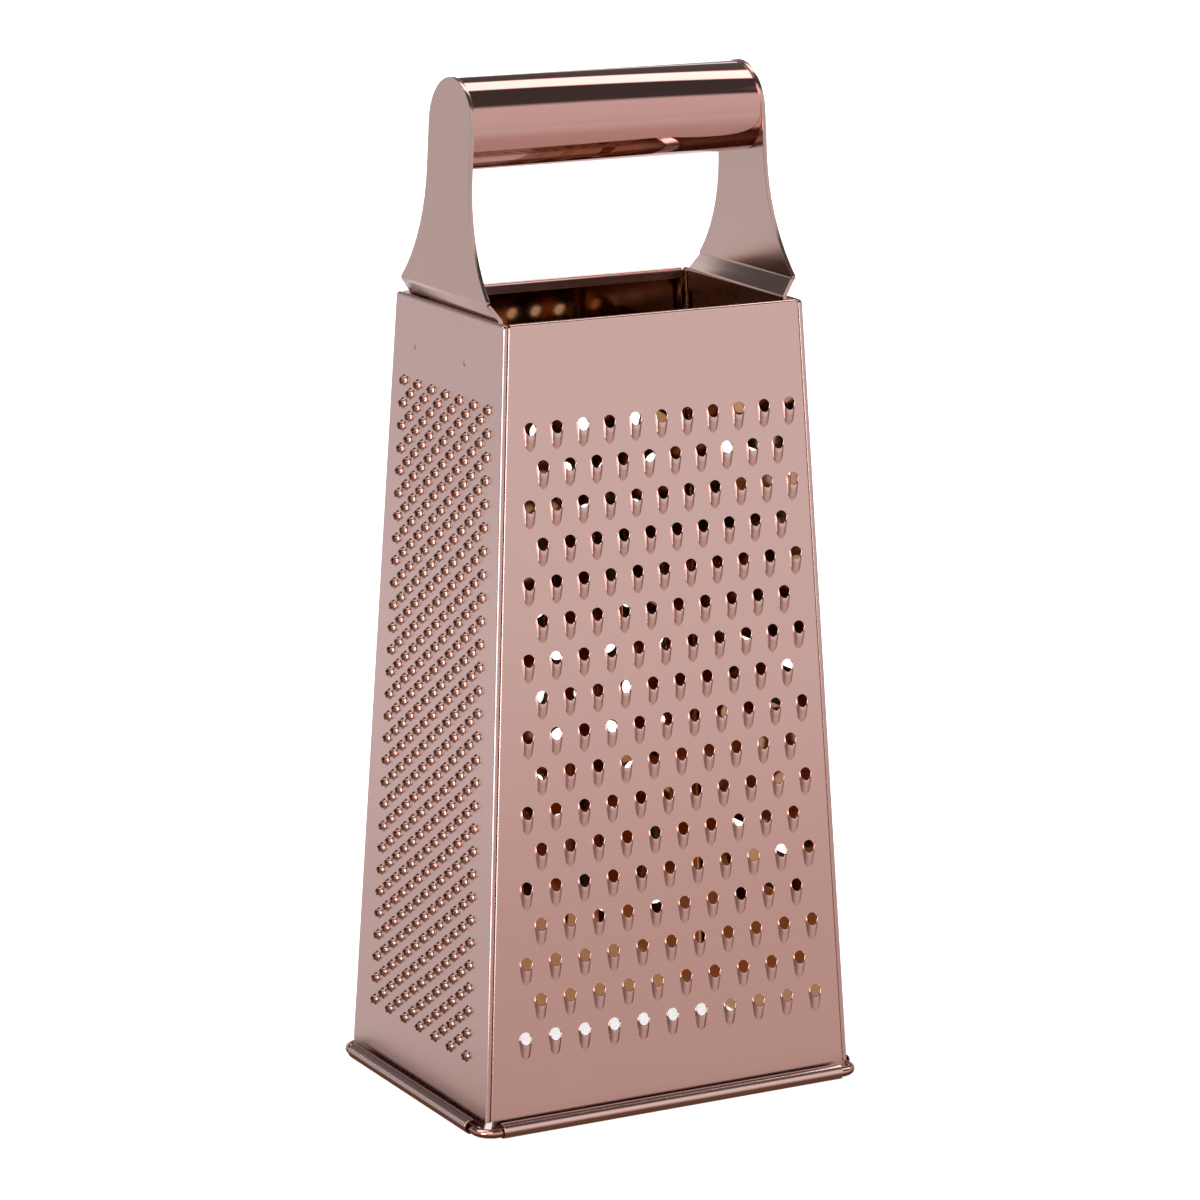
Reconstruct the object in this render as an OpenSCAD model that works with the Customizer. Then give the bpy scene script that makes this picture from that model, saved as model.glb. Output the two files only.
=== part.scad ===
/* [Body] */
// Overall height, from the surface it stands on to the top of the handle plates
total_h = 240; // [200:1:280]
// Height of the top edge of the four walls
body_h = 187.2; // [150:0.1:200]
// Width across the two narrow walls at the top edge
top_w = 77.6; // [66:0.1:90]
// Depth across the two wide walls at the top edge
top_d = 55.2; // [46:0.1:66]
// Width over the rolled foot
foot_w = 103.6; // [96:0.1:120]
// Depth over the rolled foot
foot_d = 78.2; // [72:0.1:90]
// Thickness of the sheet that the walls are pressed from
sheet_t = 0.3; // [0.25:0.05:0.5]

/* [Foot] */
// Radius of the wire inside the rolled foot
wire_r = 1.05; // [0.9:0.05:1.3]
// Gap between the wire and the underside of the sheet rolled round it
wire_gap = 0.05; // [0.04:0.01:0.1]
// Inner radius of the sheet rolled round the wire
roll_in_r = 1.5; // [1.4:0.05:1.8]
// Bend radius of the wire at the four corners, to its middle
wire_corner_r = 4; // [3:0.1:5]
// Turn of the sheet round the wire, from the wall to its cut edge
roll_turn = 285; // [240:5:300]
// Height that the underside of the roll is planished flat
foot_flat = 0.1; // [0.05:0.01:0.2]
// Distance from a wide wall's corner to the end of its roll
wide_roll_gap = 3.3; // [3:0.1:6]
// Distance from a narrow wall's corner to the end of its roll
narrow_roll_gap = 4.5; // [3:0.1:6]
// Height of the wall's lower corner over the middle of the roll
corner_lift = 1.9; // [1.6:0.1:3]
// Distance from a wall's corner to the foot of its slanting lower corner
corner_cut = 1.45; // [1.45:0.05:2]

/* [Edges] */
// Radius of the rolled top edge of the walls
hem_r = 0.65; // [0.6:0.01:0.8]
// Depth of that edge's inner leaf
hem_leaf = 3.2; // [2:0.1:4]
// Distance from a wide wall's corner to the end of its rolled top edge
wide_hem_gap = 1.7; // [1.5:0.1:3]
// Distance from a narrow wall's corner to the end of its rolled top edge
narrow_hem_gap = 0.5; // [0.3:0.1:2]
// Distance from a narrow wall's corner to the end of that edge's inner leaf
narrow_leaf_gap = 3.4; // [3.2:0.1:5]
// Gap between two leaves of sheet folded on each other
leaf_gap = 0.05; // [0.04:0.01:0.08]
// Depth of the hooked corner seam, to the middle of its inner fold
seam_depth = 2.2; // [2:0.1:2.6]
// Bend radius of a wide wall's edge where it turns into the seam, outside
seam_bend_r = 0.35; // [0.35:0.05:0.6]

/* [Fine shredder, front wall] */
// Number of rows
fine_rows = 17; // [9:1:18]
// Holes in the longer rows, the rows between have one less
fine_cols = 11; // [6:1:11]
// Distance from the wall's top edge to the first row
fine_top = 23.3; // [22:0.1:26]
// Distance between rows
fine_row_pitch = 8.89; // [8.5:0.01:8.9]
// Distance from the wall's corner to the end hole of the first row
fine_margin_top = 6.3; // [6:0.05:8]
// Distance from the wall's corner to the end hole of the last row
fine_margin_foot = 8.75; // [8:0.05:10]
// Radius of a hole
fine_hole_r = 1.5; // [1.2:0.05:1.6]
// Height of the raised lip at its cutting edge
fine_lift = 1.35; // [1:0.05:1.5]
// Outer radius of the raised lip at its cutting edge
fine_lip_r = 1.75; // [1.7:0.05:1.9]
// Outer radius of the lip where it runs out into the wall
fine_tail_r = 0.9; // [0.8:0.05:1]
// Length of the lip
fine_lip_l = 4.9; // [4:0.1:5.5]

/* [Coarse shredder, back wall] */
// Number of rows
coarse_rows = 13; // [7:1:13]
// Holes in the longer rows, the rows between have one less
coarse_cols = 6; // [4:1:6]
// Distance from the wall's top edge to the first row
coarse_top = 26; // [24:0.1:28]
// Distance between rows
coarse_row_pitch = 11.1; // [10.8:0.1:11.3]
// Distance from the wall's corner to the end hole of the first row
coarse_margin_top = 9.65; // [8.5:0.05:11]
// Distance from the wall's corner to the end hole of the last row
coarse_margin_foot = 11.6; // [10:0.05:13]
// Radius of a hole
coarse_hole_r = 2.8; // [2.2:0.1:3]
// Height of the raised lip at its cutting edge
coarse_lift = 2.3; // [1.8:0.1:2.5]
// Outer radius of the raised lip at its cutting edge
coarse_lip_r = 3.05; // [3.05:0.05:3.3]
// Outer radius of the lip where it runs out into the wall
coarse_tail_r = 1.4; // [1.2:0.1:1.6]
// Length of the lip
coarse_lip_l = 7.4; // [6:0.1:7.6]

/* [Rasp, left wall] */
// Number of rows
rasp_rows = 57; // [20:1:58]
// Crowns in the longer rows, the rows between have one less
rasp_cols = 7; // [4:1:7]
// Distance from the wall's top edge to the first row
rasp_top = 20.2; // [19:0.1:24]
// Distance between rows
rasp_row_pitch = 2.693; // [2.6:0.001:2.7]
// Distance from the wall's corner to the end crown of the first row
rasp_margin_top = 6.95; // [6:0.05:8]
// Distance from the wall's corner to the end crown of the last row
rasp_margin_foot = 10.9; // [9:0.05:12]
// Radius of a crown at the wall
rasp_foot_r = 1.25; // [1.1:0.05:1.3]
// Radius of a crown at its points
rasp_rim_r = 0.85; // [0.8:0.05:1.05]
// Height of a crown
rasp_lift = 1.1; // [0.6:0.05:1.2]
// Thickness of the torn sheet at the points
rasp_rim_t = 0.18; // [0.12:0.01:0.25]

/* [Slicer, right wall] */
// Number of slots
slicer_rows = 3; // [1:1:3]
// Distance from the wall's top edge to the first slot
slicer_top = 42; // [36:1:46]
// Distance between slots
slicer_pitch = 48; // [40:1:50]
// Length of the straight blade
slicer_span = 33; // [24:1:34]
// Half of the slot's height
slicer_hole_r = 2.2; // [1.8:0.1:2.4]
// Height of the raised lip at its blade
slicer_lift = 2.3; // [1.8:0.1:2.5]
// Outer radius of the lip's ends at the blade
slicer_lip_r = 3; // [2.9:0.05:3.2]
// Outer radius of the lip's ends where it runs out into the wall
slicer_tail_r = 1.5; // [1.3:0.1:1.6]
// Length of the lip
slicer_lip_l = 11; // [8:0.5:14]

/* [Handle] */
// Radius of the handle tube
tube_r = 10.5; // [8.5:0.1:10.9]
// Wall of the handle tube
tube_t = 0.6; // [0.5:0.05:1.2]
// Thickness of the two handle plates
plate_t = 1; // [0.8:0.05:1.2]
// Radius of a handle plate's round top
plate_r = 11.1; // [10.9:0.05:12]
// Radius of the hollow curve of a plate's sides
flare_r = 37.5; // [36:0.5:44]
// Height of that curve
flare_h = 26.8; // [24:0.1:28]
// Width lost at each side where a plate starts to bend inwards
waist_w = 0.75; // [0.5:0.05:1.2]
// Width gained at each side between there and the wall's top edge
shoulder_w = 1.4; // [1:0.1:1.8]
// Distance that a plate stands out from the wall under it
plate_proud = 1.7; // [1.5:0.05:2]
// Angle of the sloping step between plate and tab
step_angle = 40; // [36:1:42]
// Bend radius where the plate turns into the step, to the middle of the plate
step_r = 3.5; // [3:0.1:4]
// Bend radius of all other bends of the tab, to the middle of the plate
tab_r = 1; // [0.8:0.05:1.1]
// Depth of the step's foot below the wall's top edge
step_sink = 0.2; // [0:0.05:0.4]
// Depth of the tab below the wall's top edge
tab_l = 17; // [16.5:0.5:19]
// Distance of the spot welds below the wall's top edge
weld_top = 11.3; // [10:0.1:12]
// Places of the spot welds across the wall
weld_u = [-16.3, 9.1];
// Radius of a spot weld's dimple
weld_r = 0.6; // [0.5:0.05:0.8]
// Depth of a spot weld's dimple
weld_pit = 0.12; // [0.08:0.01:0.15]

/* [Hidden] */
$fn = 48;
// Length by which every cut runs past what it cuts
over = 8;
// Length by which two joined shapes of one sheet run into each other
lap = 1;
// The flat between two round ends of a slot stays this far inside them
span_step = 0.05;
// Largest turn between two points of a bent sheet
bend_step = 15;

// The middle of the roll, and of the wire that lies on its underside
roll_r = roll_in_r + sheet_t;
roll_z = roll_r - foot_flat;
roll_x = foot_w / 2 - roll_r;
roll_y = foot_d / 2 - roll_r;
wire_z = roll_z - roll_in_r + wire_r + wire_gap;

// A wall is a plane that touches the roll's hollow and the top edge
function wall_run(half_top, roll_at) = roll_at - half_top;
function wall_reach(half_top, roll_at) = norm([wall_run(half_top, roll_at), body_h - roll_z]);
function wall_tilt(half_top, roll_at) = atan2(wall_run(half_top, roll_at), body_h - roll_z)
    - asin(roll_in_r / wall_reach(half_top, roll_at));
function wall_length(half_top, roll_at) = sqrt(pow(wall_reach(half_top, roll_at), 2)
    - pow(roll_in_r, 2));
function wall_at(roll_at, tilt) = roll_at - roll_in_r * cos(tilt);
function wall_foot_z(tilt) = roll_z - roll_in_r * sin(tilt);

wide_tilt = wall_tilt(top_d / 2, roll_y);
wide_l = wall_length(top_d / 2, roll_y);
wide_y = wall_at(roll_y, wide_tilt);
wide_z = wall_foot_z(wide_tilt);
narrow_tilt = wall_tilt(top_w / 2, roll_x);
narrow_l = wall_length(top_w / 2, roll_x);
narrow_x = wall_at(roll_x, narrow_tilt);
narrow_z = wall_foot_z(narrow_tilt);

// Half of a wall's width at its foot, and how much of it is lost for each unit of height
wide_taper = cos(wide_tilt) * tan(narrow_tilt);
wide_half = narrow_x - (wide_z - narrow_z) * tan(narrow_tilt);
narrow_taper = cos(narrow_tilt) * tan(wide_tilt);
narrow_half = wide_y - (narrow_z - wide_z) * tan(wide_tilt);

// The corner seam, four leaves of sheet hooked into each other
seam_r = (3 * sheet_t + 2 * leaf_gap) / 2;
hook_r = sheet_t + leaf_gap;
flange_at = 2 * seam_r + leaf_gap;
wide_edge = flange_at + seam_bend_r;
// A wide wall's own flat ends inside the hook's flat, short of where the bend starts
wide_flat_edge = wide_edge + lap / 2;

// The handle plates stand in the planes of the narrow walls
plate_in = plate_proud - plate_t;
plate_top_v = (total_h - narrow_z - plate_proud * sin(narrow_tilt)) / cos(narrow_tilt);
plate_mid_v = plate_top_v - plate_r;
flare_w = flare_r - sqrt(flare_r * flare_r - flare_h * flare_h);
tip_half = plate_r + flare_w;

// From the tip down a plate bends inwards, clears the rolled top edge, and bends back to the wall
function slant(off, bends_r) = (off - bends_r * (1 - cos(step_angle))) / sin(step_angle);
function slant_h(off, bends_r) = bends_r * sin(step_angle) + slant(off, bends_r) * cos(step_angle);
hem_back = 2 * hem_r + leaf_gap;
step_off = plate_proud + hem_back;
back_off = hem_back - sheet_t;
step_foot_v = narrow_l - step_sink;
tip_v = step_foot_v + slant_h(step_off, step_r + tab_r);
waist_v = tip_v - (step_r + plate_t / 2) * sin(step_angle);
waist_half = tip_half - waist_w;
tab_half = waist_half + shoulder_w;
tab_straight = hem_r + hem_leaf + sheet_t - step_sink;
tube_z = narrow_z + plate_mid_v * cos(narrow_tilt) + plate_in * sin(narrow_tilt);

// Each step of a bent sheet is a straight length, then a turn, then the turn's radius
function turn_pts(p, h, turn, r) = let (
    count = ceil(abs(turn) / bend_step),
    side = sign(turn),
    mid = p + r * side * [-sin(h), cos(h)])
    [for (k = [1:count]) let (a = h + turn * k / count) [mid + r * side * [sin(a), -cos(a)], a]];
function walk(steps, p, h, i = 0) = i >= len(steps) ? [[p, h]] : let (
    q = p + steps[i][0] * [cos(h), sin(h)],
    bend = steps[i][1] == 0 ? [[q, h]] : turn_pts(q, h, steps[i][1], steps[i][2]),
    last = bend[len(bend) - 1])
    concat([[p, h], [q, h]], bend, walk(steps, last[0], last[1], i + 1));
function side_pts(path, off) = [for (s = path) s[0] + off * [-sin(s[1]), cos(s[1])]];
function flip(list) = [for (i = [len(list) - 1:-1:0]) list[i]];
function thin(pts) = [for (i = [0:len(pts) - 1]) if (i == 0 || norm(pts[i] - pts[i - 1]) > 0.001 * sheet_t) pts[i]];

// Outline of a sheet of thickness t that starts at p and follows the steps
module bent_sheet(steps, p, h, t) {
    path = walk(steps, p, h);
    polygon(thin(concat(side_pts(path, t / 2), flip(side_pts(path, -t / 2)))));
}

// Lays a section, with outwards as its first and upwards as its second direction, along a wall
module along_wall(length) {
    rotate([90, 0, -90]) linear_extrude(length, center = true) children();
}

// Stands a wall drawn upright at the origin, its outer face towards -Y, in its place
module wide_wall_place() {
    translate([0, -wide_y, wide_z]) rotate([-wide_tilt, 0, 0]) children();
}
module narrow_wall_place() {
    rotate([0, 0, -90]) translate([0, -narrow_x, narrow_z]) rotate([-narrow_tilt, 0, 0]) children();
}

// The flat of a wall: its slanting sides stop at the folds, its lower corners are cut away
module wall_flat(half, taper, length, edge) {
    slope = edge / cos(atan(taper));
    foot_half = half - corner_cut;
    rotate([90, 0, 0]) translate([0, 0, -sheet_t]) linear_extrude(sheet_t) polygon([
        [-foot_half, 0], [foot_half, 0], [half - taper * corner_lift - slope, corner_lift],
        [half - taper * length - slope, length], [-half + taper * length + slope, length],
        [-half + taper * corner_lift + slope, corner_lift]]);
}

// The foot of a wall, rolled outwards round the wire
module wall_roll(half) {
    roll_mid_r = roll_r - sheet_t / 2;
    along_wall(2 * half)
        bent_sheet([[lap, roll_turn, roll_mid_r]], [-sheet_t / 2, lap], -90, sheet_t);
}

// The top edge of a wall, rolled inwards, with the leaf that it ends in
module wall_hem(half, leaf_half) {
    mid_r = hem_r - sheet_t / 2;
    along_wall(2 * half) bent_sheet([[lap, 180, mid_r]], [-sheet_t / 2, -lap - hem_r], 90, sheet_t);
    along_wall(2 * leaf_half)
        bent_sheet([[lap, 180, mid_r], [hem_leaf, 0, 0]], [-sheet_t / 2, -lap - hem_r], 90, sheet_t);
}

// Runs a section along both slanting sides of a wall, from its lower corners to its top
module along_sides(half, taper, length, top_gap) {
    lean = atan(taper);
    rise = (length - top_gap - corner_lift) / cos(lean);
    for (side = [0, 1]) mirror([side, 0, 0])
        translate([-half + taper * corner_lift, 0, corner_lift]) rotate([0, lean, 0])
            linear_extrude(rise) children();
}

// Section of a narrow wall's side edge: folded back inwards on itself
module narrow_edge() {
    bent_sheet([[lap, -180, seam_r - sheet_t / 2], [seam_depth - seam_r, 0, 0]],
        [seam_r + lap, sheet_t / 2], 180, sheet_t);
}

// Section of a wide wall's side edge: turned inwards and hooked into the narrow wall's fold
module wide_edge_hook() {
    bent_sheet([[lap, -90, seam_bend_r - sheet_t / 2],
        [seam_depth - seam_bend_r, 180, hook_r],
        [seam_depth - seam_r - leaf_gap, 0, 0]],
        [wide_edge + lap, sheet_t / 2], 180, sheet_t);
}

// A tapering pressed lip round the lower half of a hole, its axis sinking into the wall
module lip_form(span, lip_r, tail_r, lip_l, lift) {
    sink = lip_r - lift;
    dip = atan((tail_r - sink) / lip_l);
    length = lip_l / cos(dip);
    translate([0, sink, 0]) rotate([180 + dip, 0, 0]) {
        for (end = span > 0 ? [-1, 1] : [0]) translate([end * span / 2, 0, 0])
            cylinder(h = length, r1 = lip_r, r2 = tail_r);
        if (span > 0) rotate([90, 0, 90]) linear_extrude(span, center = true)
            polygon([[0, 0], [lip_r - span_step, 0], [tail_r - span_step, length], [0, length]]);
    }
}

// The hollow under a lip, one sheet thickness inside it
module lip_hollow(span, lip_r, tail_r, lip_l, lift) {
    sink = lip_r - lift;
    dip = atan((tail_r - sink) / lip_l);
    length = lip_l / cos(dip);
    translate([0, sink, 0]) rotate([180 + dip, 0, 0]) {
        for (end = span > 0 ? [-1, 1] : [0]) translate([end * span / 2, 0, 0])
            cylinder(h = length, r1 = lip_r - sheet_t, r2 = tail_r - sheet_t);
        if (span > 0) rotate([90, 0, 90]) linear_extrude(span, center = true)
            polygon([[0, 0], [lip_r - sheet_t - span_step, 0],
                [tail_r - sheet_t - span_step, length], [0, length]]);
    }
}

// The hole itself, cut square through wall and lip
module lip_hole(span, hole_r) {
    rotate([90, 0, 0]) linear_extrude(2 * over, center = true) {
        for (end = span > 0 ? [-1, 1] : [0]) translate([end * span / 2, 0]) circle(hole_r);
        if (span > 0) square([span, 2 * (hole_r - span_step)], center = true);
    }
}

// Places of a staggered pattern that fills a tapering wall between its two margins
function pattern(rows, cols, top, row_pitch, margin_top, margin_foot, half, taper, length) = [
    for (row = [0:rows - 1]) let (
        share = rows > 1 ? row / (rows - 1) : 0,
        v = length - top - row * row_pitch,
        margin = margin_top + share * (margin_foot - margin_top),
        pitch = 2 * (half - taper * v - margin) / (cols - 1),
        count = row % 2 == 0 ? cols : cols - 1)
        for (i = [0:count - 1]) [(i - (count - 1) / 2) * pitch, v]];

// A flat wall with a lip and a hole at each place
module pressed_wall(half, taper, length, edge, places, span, hole_r, lip_r, tail_r, lip_l, lift) {
    field = half - edge - lap;
    foot = corner_lift + lap;
    head = length - hem_leaf - 2 * lap;
    difference() {
        union() {
            wall_flat(half, taper, length - hem_r, edge);
            for (p = places) translate([p[0], 0, p[1]]) lip_form(span, lip_r, tail_r, lip_l, lift);
        }
        for (p = places) translate([p[0], 0, p[1]]) {
            lip_hollow(span, lip_r, tail_r, lip_l, lift);
            lip_hole(span, hole_r);
        }
        rotate([90, 0, 0]) translate([0, 0, -sheet_t - over]) linear_extrude(over) polygon([
            [-field + taper * foot, foot], [field - taper * foot, foot],
            [field - taper * head, head], [-field + taper * head, head]]);
    }
}

// The floor that trims the underside of the rolled foot flat
module floor_cut() {
    translate([-foot_w, -foot_d, -over]) cube([2 * foot_w, 2 * foot_d, over]);
}

// The rolled foot, rolled top edge and hooks that both wide walls have
module wide_wall_edges() {
    top_half = wide_half - wide_taper * wide_l - wide_hem_gap;
    wall_roll(wide_half - wide_roll_gap);
    translate([0, 0, wide_l]) wall_hem(top_half, top_half);
    along_sides(wide_half, wide_taper, wide_l, hem_r) wide_edge_hook();
}

// The rolled foot, rolled top edge and folded sides that both narrow walls have
module narrow_wall_edges() {
    top_half = narrow_half - narrow_taper * narrow_l;
    wall_roll(narrow_half - narrow_roll_gap);
    translate([0, 0, narrow_l]) wall_hem(top_half - narrow_hem_gap, top_half - narrow_leaf_gap);
    along_sides(narrow_half, narrow_taper, narrow_l, hem_r) narrow_edge();
}

// The dimples that spot welding leaves on a narrow wall
module weld_pits() {
    for (u = weld_u) translate([u, -over, narrow_l - weld_top]) rotate([-90, 0, 0])
        cylinder(h = over + weld_pit, r = weld_r);
}

module front_shredder() {
    places = pattern(fine_rows, fine_cols, fine_top, fine_row_pitch, fine_margin_top,
        fine_margin_foot, wide_half, wide_taper, wide_l);
    color([0.78, 0.63, 0.60]) difference() {
        wide_wall_place() union() {
            pressed_wall(wide_half, wide_taper, wide_l, wide_flat_edge, places, 0, fine_hole_r,
                fine_lip_r, fine_tail_r, fine_lip_l, fine_lift);
            wide_wall_edges();
        }
        floor_cut();
    }
}

module back_shredder() {
    places = pattern(coarse_rows, coarse_cols, coarse_top, coarse_row_pitch, coarse_margin_top,
        coarse_margin_foot, wide_half, wide_taper, wide_l);
    color([0.74, 0.58, 0.54]) difference() {
        rotate([0, 0, 180]) wide_wall_place() union() {
            pressed_wall(wide_half, wide_taper, wide_l, wide_flat_edge, places, 0, coarse_hole_r,
                coarse_lip_r, coarse_tail_r, coarse_lip_l, coarse_lift);
            wide_wall_edges();
        }
        floor_cut();
    }
}

module left_rasp() {
    places = pattern(rasp_rows, rasp_cols, rasp_top, rasp_row_pitch, rasp_margin_top,
        rasp_margin_foot, narrow_half, narrow_taper, narrow_l);
    bore_foot_r = rasp_foot_r - sheet_t;
    bore_rim_r = rasp_rim_r - rasp_rim_t;
    color([0.70, 0.60, 0.58]) difference() {
        narrow_wall_place() difference() {
            union() {
                difference() {
                    union() {
                        wall_flat(narrow_half, narrow_taper, narrow_l - hem_r, seam_r);
                        for (p = places) translate([p[0], sheet_t / 2, p[1]]) rotate([90, 0, 0])
                            cylinder(h = rasp_lift + sheet_t / 2, r1 = rasp_foot_r, r2 = rasp_rim_r);
                    }
                    for (p = places) translate([p[0], sheet_t + lap, p[1]]) rotate([90, 0, 0])
                        cylinder(h = rasp_lift + sheet_t + 2 * lap, r1 = bore_foot_r, r2 = bore_rim_r);
                }
                narrow_wall_edges();
            }
            weld_pits();
        }
        floor_cut();
    }
}

module right_slicer() {
    rows = [for (i = [0:slicer_rows - 1]) [0, narrow_l - slicer_top - i * slicer_pitch]];
    color([0.70, 0.58, 0.55]) difference() {
        rotate([0, 0, 180]) narrow_wall_place() difference() {
            union() {
                pressed_wall(narrow_half, narrow_taper, narrow_l, seam_r, rows, slicer_span,
                    slicer_hole_r, slicer_lip_r, slicer_tail_r, slicer_lip_l, slicer_lift);
                narrow_wall_edges();
            }
            weld_pits();
        }
        floor_cut();
    }
}

module foot_wire() {
    run_x = roll_x - wire_corner_r;
    run_y = roll_y - wire_corner_r;
    color([0.72, 0.50, 0.45]) translate([0, 0, wire_z]) {
        for (side = [-1, 1]) {
            translate([-run_x, side * roll_y, 0]) rotate([0, 90, 0]) cylinder(h = 2 * run_x, r = wire_r);
            translate([side * roll_x, -run_y, 0]) rotate([-90, 0, 0]) cylinder(h = 2 * run_y, r = wire_r);
        }
        for (turn = [0, 1], flip_y = [0, 1]) mirror([turn, 0, 0]) mirror([0, flip_y, 0])
            translate([run_x, run_y, 0]) rotate_extrude(angle = 90)
                translate([wire_corner_r, 0]) circle(wire_r);
    }
}

// Outline of a handle plate with its tab, seen square on
module plate_outline() {
    flare_v = tip_v + flare_h;
    difference() {
        union() {
            translate([0, plate_mid_v]) circle(plate_r, $fn = 96);
            polygon([[-plate_r, plate_mid_v], [-plate_r, flare_v], [-tip_half, flare_v],
                [-tip_half, tip_v], [-waist_half, waist_v], [-tab_half, step_foot_v],
                [-tab_half, narrow_l - tab_l], [tab_half, narrow_l - tab_l],
                [tab_half, step_foot_v], [waist_half, waist_v], [tip_half, tip_v],
                [tip_half, flare_v], [plate_r, flare_v], [plate_r, plate_mid_v]]);
        }
        for (side = [-1, 1]) translate([side * (plate_r + flare_r), flare_v])
            circle(flare_r, $fn = 180);
    }
}

// A handle plate: flat above, stepped inwards behind the wall's rolled top edge, welded below it
module handle_plate() {
    start_v = plate_top_v + lap;
    intersection() {
        rotate([90, 0, 0]) linear_extrude(2 * over, center = true) plate_outline();
        along_wall(2 * tip_half + 2 * lap) bent_sheet([
            [start_v - tip_v, -step_angle, step_r],
            [slant(step_off, step_r + tab_r), step_angle, tab_r],
            [tab_straight, step_angle, tab_r],
            [slant(back_off, 2 * tab_r), -step_angle, tab_r],
            [tab_l, 0, 0]],
            [plate_proud - plate_t / 2, start_v], -90, plate_t);
    }
}

module left_plate() {
    color([0.69, 0.58, 0.55]) narrow_wall_place() handle_plate();
}

module right_plate() {
    color([0.69, 0.58, 0.55]) rotate([0, 0, 180]) narrow_wall_place() handle_plate();
}

// Everything outside the inner face of the left handle plate
module beyond_plate() {
    narrow_wall_place() translate([-top_d, -plate_in - top_w, 0]) cube([2 * top_d, top_w, 2 * total_h]);
}

module handle_tube() {
    color([0.82, 0.62, 0.58]) difference() {
        translate([-top_w / 2, 0, tube_z]) rotate([0, 90, 0]) difference() {
            cylinder(h = top_w, r = tube_r, $fn = 96);
            translate([0, 0, -over]) cylinder(h = top_w + 2 * over, r = tube_r - tube_t, $fn = 96);
        }
        beyond_plate();
        rotate([0, 0, 180]) beyond_plate();
    }
}

front_shredder();
back_shredder();
left_rasp();
right_slicer();
foot_wire();
left_plate();
right_plate();
handle_tube();
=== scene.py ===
# %% [markdown]
# A four-sided kitchen grater in rose gold coated steel.
# The construction comes packed from the CAD model as a fixed frame. Here the walls, plates and handle are
# modelled again with the soft pressed shapes, torn points and rounded edges that sheet metal really
# has, and every piece gets a finish made of nodes. Everything is in metres, in the frame's own axes: X
# runs along the handle, the front wall looks towards -Y, and the grater stands on Z = 0.

import math
import random

import bmesh
import bpy
from mathutils import Matrix, Vector


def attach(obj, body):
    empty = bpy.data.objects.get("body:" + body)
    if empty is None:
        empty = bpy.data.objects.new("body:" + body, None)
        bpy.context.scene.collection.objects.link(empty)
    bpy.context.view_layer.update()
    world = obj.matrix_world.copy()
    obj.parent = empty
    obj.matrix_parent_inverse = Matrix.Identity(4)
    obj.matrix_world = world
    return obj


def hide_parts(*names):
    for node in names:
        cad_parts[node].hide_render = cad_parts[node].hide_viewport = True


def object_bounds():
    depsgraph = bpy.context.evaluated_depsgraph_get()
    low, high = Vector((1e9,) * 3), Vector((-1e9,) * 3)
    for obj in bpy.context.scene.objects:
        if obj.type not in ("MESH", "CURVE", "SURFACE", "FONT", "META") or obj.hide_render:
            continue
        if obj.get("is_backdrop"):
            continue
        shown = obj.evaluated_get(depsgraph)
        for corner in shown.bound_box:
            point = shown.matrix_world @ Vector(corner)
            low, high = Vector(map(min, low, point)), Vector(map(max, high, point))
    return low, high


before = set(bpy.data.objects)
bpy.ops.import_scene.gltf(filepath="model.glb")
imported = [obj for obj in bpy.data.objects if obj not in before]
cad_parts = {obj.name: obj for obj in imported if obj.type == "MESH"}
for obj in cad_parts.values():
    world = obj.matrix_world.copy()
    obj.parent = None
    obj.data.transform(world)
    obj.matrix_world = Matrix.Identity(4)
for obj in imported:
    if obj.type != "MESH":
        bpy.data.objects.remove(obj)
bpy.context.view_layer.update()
MM = 0.001

# %% [markdown]
# The few sizes below drive every piece. They are the real sizes that the CAD model has too, typed here
# because the frame holds shapes only. So each piece lies on the solid that it stands for, to within
# a millimetre: a few beads and bends are a little tighter here, as they look on the real grater.

# %% Sizes in millimetres
foot_w = 103.6
foot_d = 78.2
total_h = 240.0
body_h = 187.2
top_w = 77.6
top_d = 55.2
sheet_t = 0.3
leaf_gap = 0.05  # air between two folded leaves
foot_flat = 0.1  # how far the rolled foot is flattened where it stands
roll_in_r = 1.5  # hollow of the roll, with the wire in it
roll_r = roll_in_r + sheet_t
roll_z = roll_r - foot_flat
roll_x = foot_w / 2 - roll_r
roll_y = foot_d / 2 - roll_r


def wall_plane(half_top, roll_at):
    """Tilt, slope length, foot place and foot height of a wall from the roll's hollow to the top edge."""
    run = roll_at - half_top
    rise = body_h - roll_z
    reach = math.hypot(run, rise)
    tilt = math.atan2(run, rise) - math.asin(roll_in_r / reach)
    length = math.sqrt(reach ** 2 - roll_in_r ** 2)
    return tilt, length, roll_at - roll_in_r * math.cos(tilt), roll_z - roll_in_r * math.sin(tilt)


wide_tilt, wide_l, wide_y, wide_z = wall_plane(top_d / 2, roll_y)
narrow_tilt, narrow_l, narrow_x, narrow_z = wall_plane(top_w / 2, roll_x)
wide_taper = math.cos(wide_tilt) * math.tan(narrow_tilt)
wide_half = narrow_x - (wide_z - narrow_z) * math.tan(narrow_tilt)
narrow_taper = math.cos(narrow_tilt) * math.tan(wide_tilt)
narrow_half = wide_y - (narrow_z - wide_z) * math.tan(wide_tilt)
print(f"wide walls lean {math.degrees(wide_tilt):.2f} degrees, narrow ones {math.degrees(narrow_tilt):.2f}")

# %% [markdown]
# The camera stands where the photograph was taken from: a little left of the front, slightly above, and
# far enough away for the upright lines to stay almost parallel. A long lens gives that flat product
# view. Turn, rise, distance and lens were solved from corners of the grater in the picture.

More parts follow.
